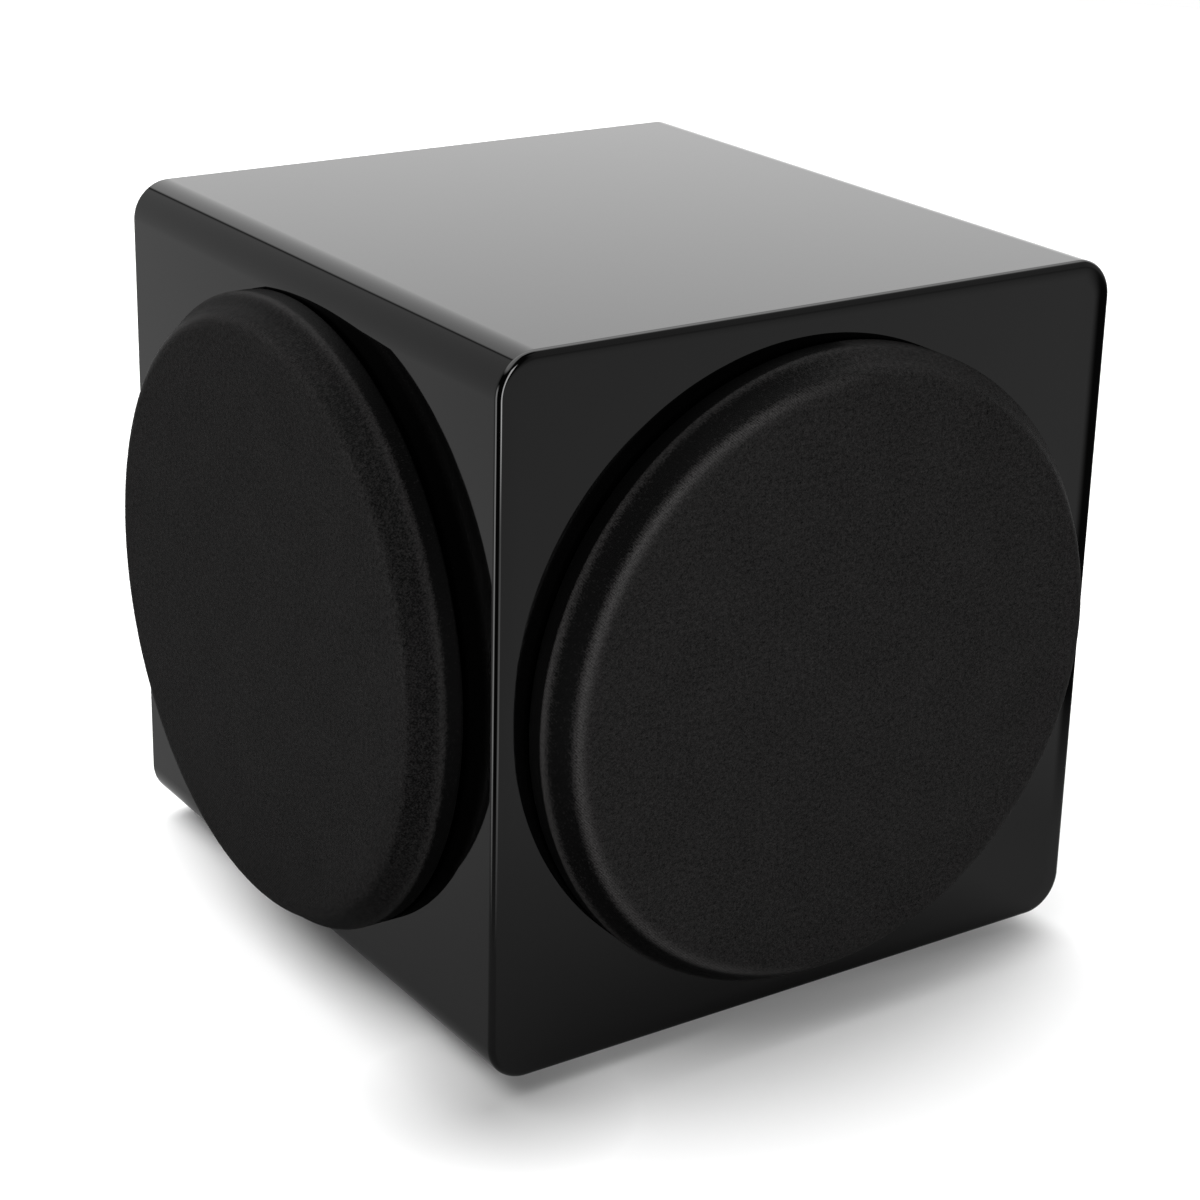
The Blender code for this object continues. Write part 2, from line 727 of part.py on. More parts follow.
def make_electronics(rear, finish):
    board = piece(
        "circuit_board",
        block("circuit_board", (0.006, -0.042, -0.0220), (0.090, 0.096, -0.0204)),
        rear,
        finish["circuit"],
        smooth=False,
    )
    controls = {
        "level_pot": (LEVEL_AT, 0.008, 0.008, KNOB_SHAFT_END),
        "crossover_pot": (CROSSOVER_AT, 0.008, 0.008, KNOB_SHAFT_END),
        "phase_switch": (PHASE_AT, 0.007, 0.005, SLIDER_END),
        "mode_switch": (MODE_AT, 0.008, 0.005, SLIDER_END),
    }
    parts = {
        "power_module": ((0.014, -0.034, -0.0340), (0.040, -0.014, -0.0214)),
        "lead_terminal": ((0.050, -0.036, -0.0320), (0.066, -0.026, -0.0214)),
        "relay": ((0.066, 0.060, -0.0370), (0.084, 0.076, -0.0214)),
    }
    for name, ((x, y), half_across, half_up, shaft_end) in controls.items():
        low = (x - half_across, y - half_up, -0.0210)
        parts[name] = (low, (x + half_across, y + half_up, shaft_end - 2 * GAP))
    for name, (low, high) in parts.items():
        join(board, piece(f"add_{name}", block(name, low, high), rear))
    can = turned(
        "capacitor",
        [(0, -0.0223), (0.0110, -0.0223), (0.0110, -0.0560), (0.0100, -0.0570), (0, -0.0570)],
        16,
    )
    for k, place in enumerate(((0.030, 0.016, 0), (0.060, 0.016, 0))):
        piece(f"capacitor_{k + 1}", can, rear, finish["can"], place)
    core = turned(
        "transformer",
        [
            (0.012, -0.014),
            (0.036, -0.010),
            (0.040, -0.014),
            (0.040, -0.044),
            (0.036, -0.048),
            (0.012, -0.044),
        ],
    )
    piece("mains_transformer", core, rear, finish["wrap"], (*TRANSFORMER_AT, 0))


def smooth_route(corners, steps):
    """Points along a Catmull-Rom curve through the corners."""
    ends = [2 * corners[0] - corners[1], *corners, 2 * corners[-1] - corners[-2]]
    points = []
    for k in range(1, len(ends) - 2):
        a, b, c, d = ends[k - 1 : k + 3]
        for step in range(steps):
            t = step / steps
            cubic = (2 * b, (c - a) * t, (2 * a - 5 * b + 4 * c - d) * t**2, (3 * b - a - 3 * c + d) * t**3)
            points.append(sum(cubic, Vector()) / 2)
    return points + [corners[-1]]


def make_speaker_lead(front, finish):
    """The pair of wires from the amplifier's board to the driver, inside the cabinet."""
    corners = [
        Vector((0.0680, 0.000, -0.0536)),
        Vector((0.0700, 0.000, -0.0640)),
        Vector((0.0770, 0.012, -0.1000)),
        Vector((0.0700, 0.030, -0.1500)),
        Vector((0.0250, 0.020, -0.1950)),
        Vector((-0.0350, -0.015, -0.2180)),
        Vector((-0.0580, -0.031, -0.2400)),
        Vector((-0.0580, -0.031, -0.2574)),
    ]
    curve = bpy.data.curves.new("speaker_lead", "CURVE")
    curve.dimensions = "3D"
    curve.bevel_depth = 0.0016
    curve.bevel_resolution = 1
    curve.use_fill_caps = True
    route = smooth_route(corners, 3)
    spline = curve.splines.new("POLY")
    spline.points.add(len(route) - 1)
    for point, place in zip(spline.points, route):
        point.co = (*place, 1)
    lead = bpy.data.objects.new("speaker_lead", curve)
    bpy.context.scene.collection.objects.link(lead)
    lead.parent = front
    curve.materials.append(finish["lead"])


def main():
    clear_scene()
    finish = make_materials()
    cabinet, front, side, rear = make_frames()
    make_cabinet(front, side, finish)
    make_inner_boards(front, rear, finish)
    make_feet(cabinet, finish)
    make_seal("woofer_seal", front, finish)
    make_basket(front, finish)
    make_motor(front, finish)
    make_woofer_moving_parts(front, finish)
    make_surround("woofer_surround", front, finish)
    make_seal("radiator_seal", side, finish)
    make_passive_radiator(side, finish)
    make_surround("radiator_surround", side, finish)
    make_grille("front", front, finish)
    make_grille("side", side, finish)
    make_amplifier_plate(rear, finish)
    make_heatsink(rear, finish)
    make_knobs(rear, finish)
    make_sliders(rear, finish)
    make_jacks(rear, finish)
    make_inlet(rear, finish)
    make_rocker(rear, finish)
    make_electronics(rear, finish)
    make_speaker_lead(front, finish)


main()
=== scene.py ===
"""Looks of a compact cube subwoofer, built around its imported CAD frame.

Metres, +Z up. The front face looks along -Y and the passive radiator's face along -X. Three local
frames carry the pieces: on the front, the side and the rear face of the cabinet, each with its
origin in the middle of the face and its +Z out of the cabinet.
"""

import math
from itertools import product

import bmesh
import bpy
from mathutils import Matrix, Vector, noise


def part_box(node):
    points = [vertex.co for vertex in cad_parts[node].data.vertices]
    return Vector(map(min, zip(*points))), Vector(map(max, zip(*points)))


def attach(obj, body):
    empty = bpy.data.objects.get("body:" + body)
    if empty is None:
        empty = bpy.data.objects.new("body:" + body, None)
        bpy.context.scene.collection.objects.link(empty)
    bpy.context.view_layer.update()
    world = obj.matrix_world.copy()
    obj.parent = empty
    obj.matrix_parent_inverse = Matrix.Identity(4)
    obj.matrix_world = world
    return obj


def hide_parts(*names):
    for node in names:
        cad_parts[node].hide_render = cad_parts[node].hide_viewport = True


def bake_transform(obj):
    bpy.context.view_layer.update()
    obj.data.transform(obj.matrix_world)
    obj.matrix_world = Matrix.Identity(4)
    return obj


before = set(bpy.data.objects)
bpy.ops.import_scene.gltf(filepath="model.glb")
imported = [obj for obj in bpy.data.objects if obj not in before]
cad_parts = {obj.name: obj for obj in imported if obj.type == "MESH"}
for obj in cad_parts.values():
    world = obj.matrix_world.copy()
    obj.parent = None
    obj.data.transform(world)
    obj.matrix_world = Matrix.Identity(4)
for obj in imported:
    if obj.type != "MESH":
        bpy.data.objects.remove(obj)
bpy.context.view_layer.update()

# Driving dimensions in metres, each measured in its own face's frame
GAP = 0.0003
WALL = 0.015
CORNER_RADIUS = 0.016
EDGE_RADIUS = 0.0023
ROLL_OFF_WIDTH = 0.009
ROLL_OFF_DROP = 0.00026
FLANGE_RADIUS = 0.106
RECESS_RADIUS = 0.1065
RECESS_DEPTH = 0.005
CUTOUT_RADIUS = 0.0935
PEG_CIRCLE = 0.114
PEG_RADIUS = 0.0024
CUP_RADIUS = 0.0039
GRILLE_SHOULDER = 0.0098
PLATEAU_RADIUS = 0.1180
HOOP_INNER = 0.109
CLOTH_THICKNESS = 0.0006
CLOTH_TURN_IN = 0.011
CLOTH_SAG = 0.0006
CLOTH_PITCH = 0.00062
CLOTH_BEND_WIDTH = 0.0025
# The cloth's colour is mixed between these two: its own dark tone lies low in the range, the painted shade
# down the wall at CLOTH_DARK, and the painted highlights along the bends higher up towards CLOTH_LIGHT.
CLOTH_DARK = (0.0006, 0.0006, 0.0006)
CLOTH_LIGHT = (0.0342, 0.0328, 0.0326)
CLOTH_ROUGHNESS = 0.6
CLOTH_TIGHT_ROUGHNESS = 0.3
# How much of the painted shade between the bends and down the wall shows all round a grille, for the part
# of its painted light that isn't one-sided.
CLOTH_FREE_SHADE = 0.65
CLOTH_WALL_SHADE = 0.25
CONE_RADIUS = 0.070
ROLL_CENTRE = 0.078
ROLL_RADIUS = 0.008
SCREW_CIRCLE = 0.0995
PLATE_TOP = 0.0046

# The studio's table: its brightness to the camera, to the cabinet, and to the cabinet on its left
# and its right, where it is painted darker as painted shade for the reflections; how deep and wide its
# painted shadow is at the near corner; and where it fades out for reflections
TABLE_RADIUS = 2.4
TABLE_SEEN = 0.92
TABLE_LIT = 0.42
TABLE_LEFT = 0.29
TABLE_RIGHT = 0.32
TABLE_SHADE = 0.54
TABLE_SHADE_WIDTH = 0.055
TABLE_FADE = (0.30, 0.46)

# Panels of light as seen from the cabinet, set to the photo's reflections, in degrees:
# azimuth clockwise from +Y with its half width and softness, elevation with its half height and
# softness, then radiance
PANELS = (
    (42, 45, 2, 14, 30, 6, 1.55),
    (-36.5, 30.5, 2, 26, 28, 4, 0.62),
    (-46, 26, 4, -30, 28, 4, 0.62),
    (-84, 12, 4, -20, 30, 8, 6.0),
    (-172, 8, 3, 4.5, 23.5, 1.5, 16.0),
    (-172, 14, 5, -34, 14.5, 6, 3.0),
    (159.2, 25.8, 3, -30, 21, 4, 0.74),
    (-20, 110, 20, 68, 24, 8, 4.2),
    (128, 30, 10, 26, 33, 7, 0.45),
    (0, 180, 1, 0, 90, 1, 0.04),
)

# The camera: what it looks at, from the cabinet's front left bottom corner; how far off it is; its
# azimuth, elevation and roll in degrees; and its lens in millimetres
CAMERA_ACROSS = 0.0425
CAMERA_UP = 0.2073
CAMERA_DISTANCE = 0.9816
CAMERA_ANGLES = (34.03, 20.32, 1.39)
CAMERA_LENS = 84.2
CAMERA_SHIFT = -0.05

cabinet_low, cabinet_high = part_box("cabinet_body")
cabinet_size = cabinet_high - cabinet_low
middle = (cabinet_low + cabinet_high) / 2
QUARTER = math.pi / 2
FRONT = Matrix.Translation((middle.x, cabinet_low.y, middle.z)) @ Matrix.Rotation(QUARTER, 4, "X")
SIDE = Matrix.Translation((cabinet_low.x, middle.y, middle.z)) @ Matrix.Rotation(-QUARTER, 4, "Y")
REAR = (
    Matrix.Translation((middle.x, cabinet_high.y, middle.z))
    @ Matrix.Rotation(math.pi, 4, "Z")
    @ Matrix.Rotation(QUARTER, 4, "X")
)
grille_low, grille_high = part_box("front_grille_frame")
GRILLE_RADIUS = (grille_high.x - grille_low.x) / 2 + 0.0008
GRILLE_PROUD = cabinet_low.y - grille_low.y
GRILLE_STANDOFF = 0.0008


def local(place, node):
    """The node's box in a face's own frame."""
    low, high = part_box(node)
    inverse = place.inverted()
    corners = [inverse @ Vector(corner) for corner in product(*zip(low, high))]
    return [Vector(pick(c[k] for c in corners) for k in range(3)) for pick in (min, max)]


# ---------------------------------------------------------------- materials


class Finish:
    """A procedural material: a Principled BSDF and short ways to put texture on its sockets."""

    def __init__(self, name, color, roughness, metallic=0.0, **constants):
        self.material = bpy.data.materials.new(name)
        self.material.use_nodes = True
        self.tree = self.material.node_tree
        self.shader = self.tree.nodes["Principled BSDF"]
        self.set(self.shader, {"Base Color": (*color, 1), "Roughness": roughness, "Metallic": metallic})
        self.set(self.shader, {key.replace("_", " "): value for key, value in constants.items()})
        self.color = color
        self.roughness = roughness
        self.height = None
        self.where = self.node("ShaderNodeTexCoord").outputs["Object"]
        self.material.diffuse_color = (*color, 1)

    def set(self, node, values):
        for key, value in values.items():
            node.inputs[key].default_value = value

    def node(self, kind, **settings):
        made = self.tree.nodes.new(kind)
        for key, value in settings.items():
            setattr(made, key, value)
        return made

    def link(self, output, socket):
        self.tree.links.new(output, socket)

    def noise(self, scale, detail=4.0, rough=0.55, stretch=(1, 1, 1), distortion=0.0):
        mapping = self.node("ShaderNodeMapping")
        mapping.inputs["Scale"].default_value = stretch
        self.link(self.where, mapping.inputs["Vector"])
        texture = self.node("ShaderNodeTexNoise")
        self.set(texture, {"Scale": scale, "Detail": detail, "Roughness": rough, "Distortion": distortion})
        self.link(mapping.outputs["Vector"], texture.inputs["Vector"])
        return texture.outputs["Fac"]

    def spread(self, output, low, high, start=0.3, end=0.7):
        ranged = self.node("ShaderNodeMapRange")
        self.set(ranged, {"From Min": start, "From Max": end, "To Min": low, "To Max": high})
        self.link(output, ranged.inputs["Value"])
        return ranged.outputs["Result"]

    def math(self, operation, first, second=None, third=None):
        made = self.node("ShaderNodeMath", operation=operation)
        for socket, value in zip(made.inputs, (first, second, third)):
            if value is None:
                continue
            if isinstance(value, (int, float)):
                socket.default_value = value
            else:
                self.link(value, socket)
        return made.outputs["Value"]

    def vary_color(self, output, other, start=0.3, end=0.7):
        """Blends the finish's colour towards other where output is high."""
        mix = self.node("ShaderNodeMix", data_type="RGBA")
        mix.inputs[6].default_value = (*self.color, 1)
        mix.inputs[7].default_value = (*other, 1)
        self.link(self.spread(output, 0, 1, start, end), mix.inputs[0])
        self.link(mix.outputs[2], self.shader.inputs["Base Color"])
        return self

    def vary_roughness(self, output, low, high, start=0.3, end=0.7):
        self.link(self.spread(output, low, high, start, end), self.shader.inputs["Roughness"])
        return self

    def bump(self, output, distance, strength=1.0):
        made = self.node("ShaderNodeBump")
        self.set(made, {"Distance": distance, "Strength": strength})
        self.link(output, made.inputs["Height"])
        if self.height:
            self.link(self.height, made.inputs["Normal"])
        self.height = made.outputs["Normal"]
        self.link(self.height, self.shader.inputs["Normal"])
        return self


def make_lacquer():
    made = Finish("gloss_lacquer", (0.0002, 0.0002, 0.0002), 0.03, IOR=1.35)
    made.vary_roughness(made.noise(60, 3), 0.022, 0.04)
    return made.bump(made.noise(140, 2), 0.000003, 0.5).material


def make_cloth():
    """Fine twill: two sets of threads at right angles, and the diagonal wale that they make.

    Its colour carries painted highlights along the bends over the hoop, where it is also shinier, and
    painted shade between the two bends and, darker still, down the wall, as the photo's lighting shows it.
    """
    made = Finish("grille_cloth", CLOTH_DARK, CLOTH_ROUGHNESS, Specular_IOR_Level=0.03)
    flat = made.node("ShaderNodeAttribute", attribute_name="cloth_flat").outputs["Vector"]
    # The rim attribute holds three masks: a painted highlight along the bends (tight), painted shade
    # between the bends (free) and painted shade down the wall (wall).
    rim = made.node("ShaderNodeSeparateXYZ")
    made.link(made.node("ShaderNodeAttribute", attribute_name="cloth_painted_light").outputs["Vector"], rim.inputs[0])
    tight, free, wall = (rim.outputs[axis] for axis in "XYZ")
    made.where = flat
    parts = made.node("ShaderNodeSeparateXYZ")
    made.link(flat, parts.inputs[0])
    turn = 2 * math.pi / CLOTH_PITCH
    wander = made.math("MULTIPLY", made.noise(90, 3), 3.0)
    warp = made.math("SINE", made.math("MULTIPLY_ADD", parts.outputs["X"], turn, wander))
    weft = made.math("SINE", made.math("MULTIPLY_ADD", parts.outputs["Y"], turn, wander))
    along = made.math("ADD", parts.outputs["X"], parts.outputs["Y"])
    wale = made.math("SINE", made.math("MULTIPLY_ADD", along, turn / 2, wander))
    weave = made.math("ADD", made.math("MULTIPLY", warp, weft), made.math("MULTIPLY", wale, 0.5))
    fuzz = made.noise(1300, 3)
    grain = made.math("ADD", made.spread(made.noise(520, 2), -0.16, 0.16), made.spread(fuzz, 0.22, 0.78))
    cloudy = made.noise(38, 4, 0.6)
    tone = made.math("MULTIPLY_ADD", weave, 0.03, made.math("MULTIPLY_ADD", cloudy, 0.25, grain))
    # The painted highlight along the bends, broken up by the weave, lifts the colour; the painted shade
    # between the bends and down the wall lowers it.
    dotted = made.math("MULTIPLY", tight, made.math("MULTIPLY_ADD", weave, 0.34, fuzz))
    lifted = made.math("MULTIPLY_ADD", dotted, 1.35, made.math("MULTIPLY_ADD", free, -0.55, tone))
    made.vary_color(made.math("MULTIPLY_ADD", wall, -3, lifted), CLOTH_LIGHT, 0.2, 2.2)
    # Smoother where the painted highlight runs along the bends.
    bend_roughness = made.math("MULTIPLY_ADD", tight, CLOTH_TIGHT_ROUGHNESS - CLOTH_ROUGHNESS, CLOTH_ROUGHNESS)
    made.link(made.math("MULTIPLY", bend_roughness, made.spread(fuzz, 0.9, 1.1)), made.shader.inputs["Roughness"])
    made.bump(weave, 0.00005, 0.5)
    return made.bump(fuzz, 0.00008, 0.5).material


def make_moulded(name, color, roughness, grain=0.00004, **constants):
    """Moulded plastic or rubber: a fine spark-eroded grain and cloudy gloss."""
    made = Finish(name, color, roughness, **constants)
    made.vary_color(made.noise(45, 4), tuple(c * 1.35 + 0.002 for c in color))
    made.vary_roughness(made.noise(130, 4), roughness - 0.06, roughness + 0.08)
    return made.bump(made.noise(1800, 3), grain, 0.6).material


def make_metal(name, color, roughness, stretch=(1, 1, 1), **constants):
    """Bare or plated metal: fine lay marks along one direction."""
    made = Finish(name, color, roughness, 1.0, **constants)
    lay = made.noise(700, 3, 0.6, stretch)
    made.vary_color(made.noise(60, 3), tuple(c * 0.86 for c in color))
    made.vary_roughness(lay, roughness - 0.05, roughness + 0.08)
    return made.bump(lay, 0.00001, 0.5).material


def make_board(name, color, fibre):
    made = Finish(name, color, 0.82)
    made.vary_color(made.noise(420, 5, 0.7), fibre)
    return made.bump(made.noise(900, 4), 0.00012, 0.7).material


def make_pulp():
    made = Finish("cone_pulp", (0.017, 0.017, 0.018), 0.6, Specular_IOR_Level=0.35)
    fibres = made.noise(520, 5, 0.7, (1, 1, 1), 1.5)
    made.vary_color(fibres, (0.034, 0.034, 0.036), 0.4, 0.75)
    made.vary_roughness(fibres, 0.5, 0.72)
    return made.bump(fibres, 0.00012, 0.6).material


def make_wound(name, color, other, pitch, metallic):
    """Turns of wire or tape, as bands across the front frame's axis."""
    made = Finish(name, color, 0.4, metallic)
    parts = made.node("ShaderNodeSeparateXYZ")
    made.link(made.where, parts.inputs[0])
    bands = made.math("SINE", made.math("MULTIPLY", parts.outputs["Y"], 2 * math.pi / pitch))
    made.vary_color(bands, other, -0.6, 0.8)
    made.vary_roughness(made.noise(200, 3), 0.3, 0.5)
    return made.bump(bands, 0.0001, 0.6).material


def make_woven(name, color, other, pitch, roughness=0.85):
    made = Finish(name, color, roughness)
    parts = made.node("ShaderNodeSeparateXYZ")
    made.link(made.where, parts.inputs[0])
    turn = 2 * math.pi / pitch
    waves = [made.math("SINE", made.math("MULTIPLY", parts.outputs[axis], turn)) for axis in "XZ"]
    weave = made.math("MULTIPLY", *waves)
    made.vary_color(weave, other, -0.7, 0.7)
    return made.bump(weave, 0.0001, 0.7).material


def make_circuit():
    """Green solder mask with copper tracks showing through."""
    made = Finish("circuit_board", (0.008, 0.075, 0.03), 0.35)
    tracks = made.node("ShaderNodeTexBrick")
    made.set(tracks, {"Scale": 90, "Mortar Size": 0.02})
    made.link(made.where, tracks.inputs["Vector"])
    made.vary_color(tracks.outputs["Fac"], (0.02, 0.16, 0.07), 0.2, 0.8)
    return made.bump(tracks.outputs["Fac"], 0.00003, 0.5).material


def make_plate_paint():
    made = Finish("amplifier_plate", (0.012, 0.012, 0.0125), 0.42, 0.35)
    lay = made.noise(900, 3, 0.6, (1, 1, 0.02))
    made.vary_color(made.noise(35, 4), (0.018, 0.018, 0.019))
    made.vary_roughness(lay, 0.36, 0.52)
    made.bump(lay, 0.00001, 0.5)
    return made.bump(made.noise(2200, 3), 0.00003, 0.5).material


def make_lens():
    made = Finish("status_lens", (0.08, 0.55, 0.12), 0.12, Transmission_Weight=0.35, Emission_Strength=0.25)
    made.set(made.shader, {"Emission Color": (0.1, 0.8, 0.2, 1)})
    made.vary_color(made.noise(500, 2), (0.12, 0.7, 0.2))
    return made.bump(made.noise(900, 2), 0.00002, 0.4).material


lacquer = make_lacquer()
cloth = make_cloth()
plastic = make_moulded("moulded_plastic", (0.011, 0.011, 0.0115), 0.42)
hoop_plastic = make_moulded("grille_plastic", (0.014, 0.014, 0.014), 0.55)
rubber = make_moulded("rubber", (0.010, 0.010, 0.010), 0.62, 0.00006)
roll_rubber = make_moulded("roll_rubber", (0.008, 0.008, 0.0085), 0.5, 0.00002, Specular_IOR_Level=0.4)
foam = make_moulded("sealing_foam", (0.02, 0.02, 0.02), 0.9, 0.0003)
cast = make_moulded("cast_basket", (0.016, 0.016, 0.017), 0.45, 0.0001, Metallic=0.3)
pulp = make_pulp()
board = make_board("raw_board", (0.30, 0.20, 0.115), (0.42, 0.30, 0.18))
black_board = make_board("black_board", (0.008, 0.008, 0.008), (0.014, 0.014, 0.014))
wadding = make_board("wadding", (0.62, 0.61, 0.58), (0.8, 0.79, 0.76))
steel = make_metal("plated_steel", (0.55, 0.55, 0.56), 0.32)
black_steel = make_metal("black_screw", (0.035, 0.035, 0.037), 0.36)
anodised = make_metal("black_anodised", (0.028, 0.028, 0.030), 0.42, (1, 1, 0.03))
gold = make_metal("gold_contact", (0.85, 0.58, 0.22), 0.22)
brass = make_metal("inlet_pin", (0.72, 0.68, 0.55), 0.28)
ferrite = make_moulded("ferrite", (0.035, 0.035, 0.037), 0.55, 0.0001)
plate_paint = make_plate_paint()
copper = make_wound("copper_winding", (0.72, 0.30, 0.12), (0.42, 0.14, 0.05), 0.0005, 1.0)
former = make_woven("coil_former", (0.50, 0.38, 0.20), (0.36, 0.26, 0.12), 0.0012, 0.5)
spider_cloth = make_woven("spider_cloth", (0.58, 0.42, 0.15), (0.44, 0.30, 0.09), 0.0011)
wrap = make_woven("transformer_wrap", (0.66, 0.53, 0.16), (0.5, 0.4, 0.1), 0.004, 0.45)
circuit = make_circuit()
can = make_moulded("capacitor_can", (0.03, 0.035, 0.06), 0.32, 0.00001)
lens = make_lens()
jacket = make_moulded("lead_jacket", (0.30, 0.012, 0.012), 0.45, 0.00002)
white_ring = make_moulded("white_insulator", (0.62, 0.62, 0.60), 0.4, 0.00002)
red_ring = make_moulded("red_insulator", (0.40, 0.012, 0.010), 0.4, 0.00002)
ink = make_moulded("marking_ink", (0.55, 0.55, 0.54), 0.6, 0.00001)

# ---------------------------------------------------------------- mesh helpers


def rounded(points, steps=4):
    """An open (x, y) chain whose corners are rounded; a point's third value is its corner's radius."""
    result = []
    for k, point in enumerate(points):
        radius = point[2] if len(point) > 2 else 0
        here = Vector(point[:2])
        if radius == 0 or k in (0, len(points) - 1):
            result.append(tuple(here))
            continue
        before = (Vector(points[k - 1][:2]) - here).normalized()
        after = (Vector(points[k + 1][:2]) - here).normalized()
        half = before.angle(after) / 2
        reach = radius / math.tan(half)
        centre = here + (before + after).normalized() * radius / math.sin(half)
        first = here + before * reach - centre
        last = here + after * reach - centre
        for step in range(steps + 1):
            t = step / steps
            result.append(tuple(centre + first.slerp(last, t).normalized() * first.length))
    return result


def mesh_of(name, build, place, finish=None, recalc=True):
    bm = bmesh.new()
    build(bm)
    if recalc:
        bmesh.ops.recalc_face_normals(bm, faces=bm.faces)
    mesh = bpy.data.meshes.new(name)
    bm.to_mesh(mesh)
    bm.free()
    mesh.transform(place)
    if finish:
        mesh.materials.append(finish)
    return mesh


def lathe(name, profile, place, finish, segments=96, radius_at=None, span=(0, 2 * math.pi)):
    """Turns an open (radius, height) chain about the frame's Z. Radius 0 is a pole."""
    whole = span[1] - span[0] > 6.2

    def build(bm):
        count = segments if whole else segments + 1
        turns = [span[0] + (span[1] - span[0]) * k / segments for k in range(count)]
        rings = []
        for radius, height in profile:
            if radius <= 1e-9:
                rings.append([bm.verts.new((0, 0, height))])
                continue
            ring = []
            for t in turns:
                r = radius_at(radius, height, t) if radius_at else radius
                ring.append(bm.verts.new((r * math.cos(t), r * math.sin(t), height)))
            rings.append(ring)
        for first, second in pairs(rings):
            for k in range(segments):
                n = (k + 1) % count
                corners = [first[k % len(first)], first[n % len(first)]]
                corners += [second[n % len(second)], second[k % len(second)]]
                corners = list(dict.fromkeys(corners))
                if len(corners) > 2:
                    bm.faces.new(corners)

    return mesh_of(name, build, place, finish)


def pairs(points):
    return zip(points, points[1:])


def closed(profile):
    return [*profile, profile[0]]


def ring_lathe(name, profile, place, finish, segments):
    """A lathe of a closed outline that doesn't reach the axis."""
    mesh = lathe(name, closed(profile), place, finish, segments)
    bm = bmesh.new()
    bm.from_mesh(mesh)
    bmesh.ops.remove_doubles(bm, verts=bm.verts, dist=1e-7)
    bmesh.ops.recalc_face_normals(bm, faces=bm.faces)
    bm.to_mesh(mesh)
    bm.free()
    return mesh


def prism(name, outline, low, high, place, finish, bevel=0.0):
    def build(bm):
        face = bm.faces.new([bm.verts.new((x, y, low)) for x, y in outline])
        moved = bmesh.ops.extrude_face_region(bm, geom=[face])["geom"]
        corners = [item for item in moved if isinstance(item, bmesh.types.BMVert)]
        bmesh.ops.translate(bm, verts=corners, vec=(0, 0, high - low))
        bmesh.ops.recalc_face_normals(bm, faces=bm.faces)
        if bevel:
            sharp = [e for e in bm.edges if e.calc_face_angle(0) > math.radians(25)]
            bmesh.ops.bevel(bm, geom=sharp, offset=bevel, segments=3, profile=0.5, affect="EDGES")

    return mesh_of(name, build, place, finish)


def slab(name, low, high, place, finish, bevel=0.0):
    corners = [(low[0], low[1]), (high[0], low[1]), (high[0], high[1]), (low[0], high[1])]
    return prism(name, corners, low[2], high[2], place, finish, bevel)


def smooth(mesh, angle):
    mesh.shade_smooth()
    mesh.set_sharp_from_angle(angle=math.radians(angle))
    return mesh


def placed(name, data):
    made = bpy.data.objects.new(name, data)
    bpy.context.scene.collection.objects.link(made)
    return made


def show(name, mesh, body, replaced=(), angle=32):
    made = placed(name, smooth(mesh, angle))
    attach(made, body)
    if replaced:
        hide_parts(*([replaced] if isinstance(replaced, str) else replaced))
    return made


def solid(mesh, tools):
    """The mesh after Boolean steps, given as (operation, mesh) pairs."""
    base = placed("solid_base", mesh)
    helpers = []
    for operation, other in tools:
        helpers.append(placed("solid_tool", other))
        change = base.modifiers.new("step", "BOOLEAN")
        change.operation = operation
        change.object = helpers[-1]
        change.material_mode = "TRANSFER"
    depsgraph = bpy.context.evaluated_depsgraph_get()
    result = bpy.data.meshes.new_from_object(base.evaluated_get(depsgraph), depsgraph=depsgraph)
    for item in [base, *helpers]:
        bpy.data.objects.remove(item)
    return result


def even_normals(obj):
    """Keeps large flat faces flat where they meet a soft edge."""
    change = obj.modifiers.new("even normals", "WEIGHTED_NORMAL")
    change.keep_sharp = True
    change.weight = 90
    return obj


def pegs(face):
    turns = [math.radians(45 + 90 * k) for k in range(4)]
    return [at(face, PEG_CIRCLE * math.cos(t), PEG_CIRCLE * math.sin(t)) for t in turns]


def at(place, x, y, z=0.0):
    return place @ Matrix.Translation((x, y, z))


# ---------------------------------------------------------------- cabinet


def rim_profile():
    """(inset, drop) from a face's flat to its rim: a slow polished roll-off, then the tight edge."""
    steps, arc_steps = 8, 8
    points = []
    for k in range(steps + 1):
        t = k / steps
        inset = ROLL_OFF_WIDTH + (EDGE_RADIUS - ROLL_OFF_WIDTH) * t
        points.append((inset, ROLL_OFF_DROP * t * t))
    tilt = math.atan(2 * ROLL_OFF_DROP / (ROLL_OFF_WIDTH - EDGE_RADIUS))
    radius = EDGE_RADIUS / (1 - math.sin(tilt))
    for k in range(1, arc_steps + 1):
        angle = tilt + (QUARTER - tilt) * k / arc_steps
        inset = EDGE_RADIUS - radius * (math.sin(angle) - math.sin(tilt))
        points.append((max(inset, 0), ROLL_OFF_DROP + radius * (math.cos(tilt) - math.cos(angle))))
    return points


def rounded_outline(width, height, radius, steps):
    points = []
    for quarter, (sx, sy) in enumerate(((1, 1), (-1, 1), (-1, -1), (1, -1))):
        for k in range(steps + 1):
            turn = QUARTER * (quarter + k / steps)
            x = sx * (width / 2 - radius) + radius * math.cos(turn)
            y = sy * (height / 2 - radius) + radius * math.sin(turn)
            points.append((x, y))
    return points


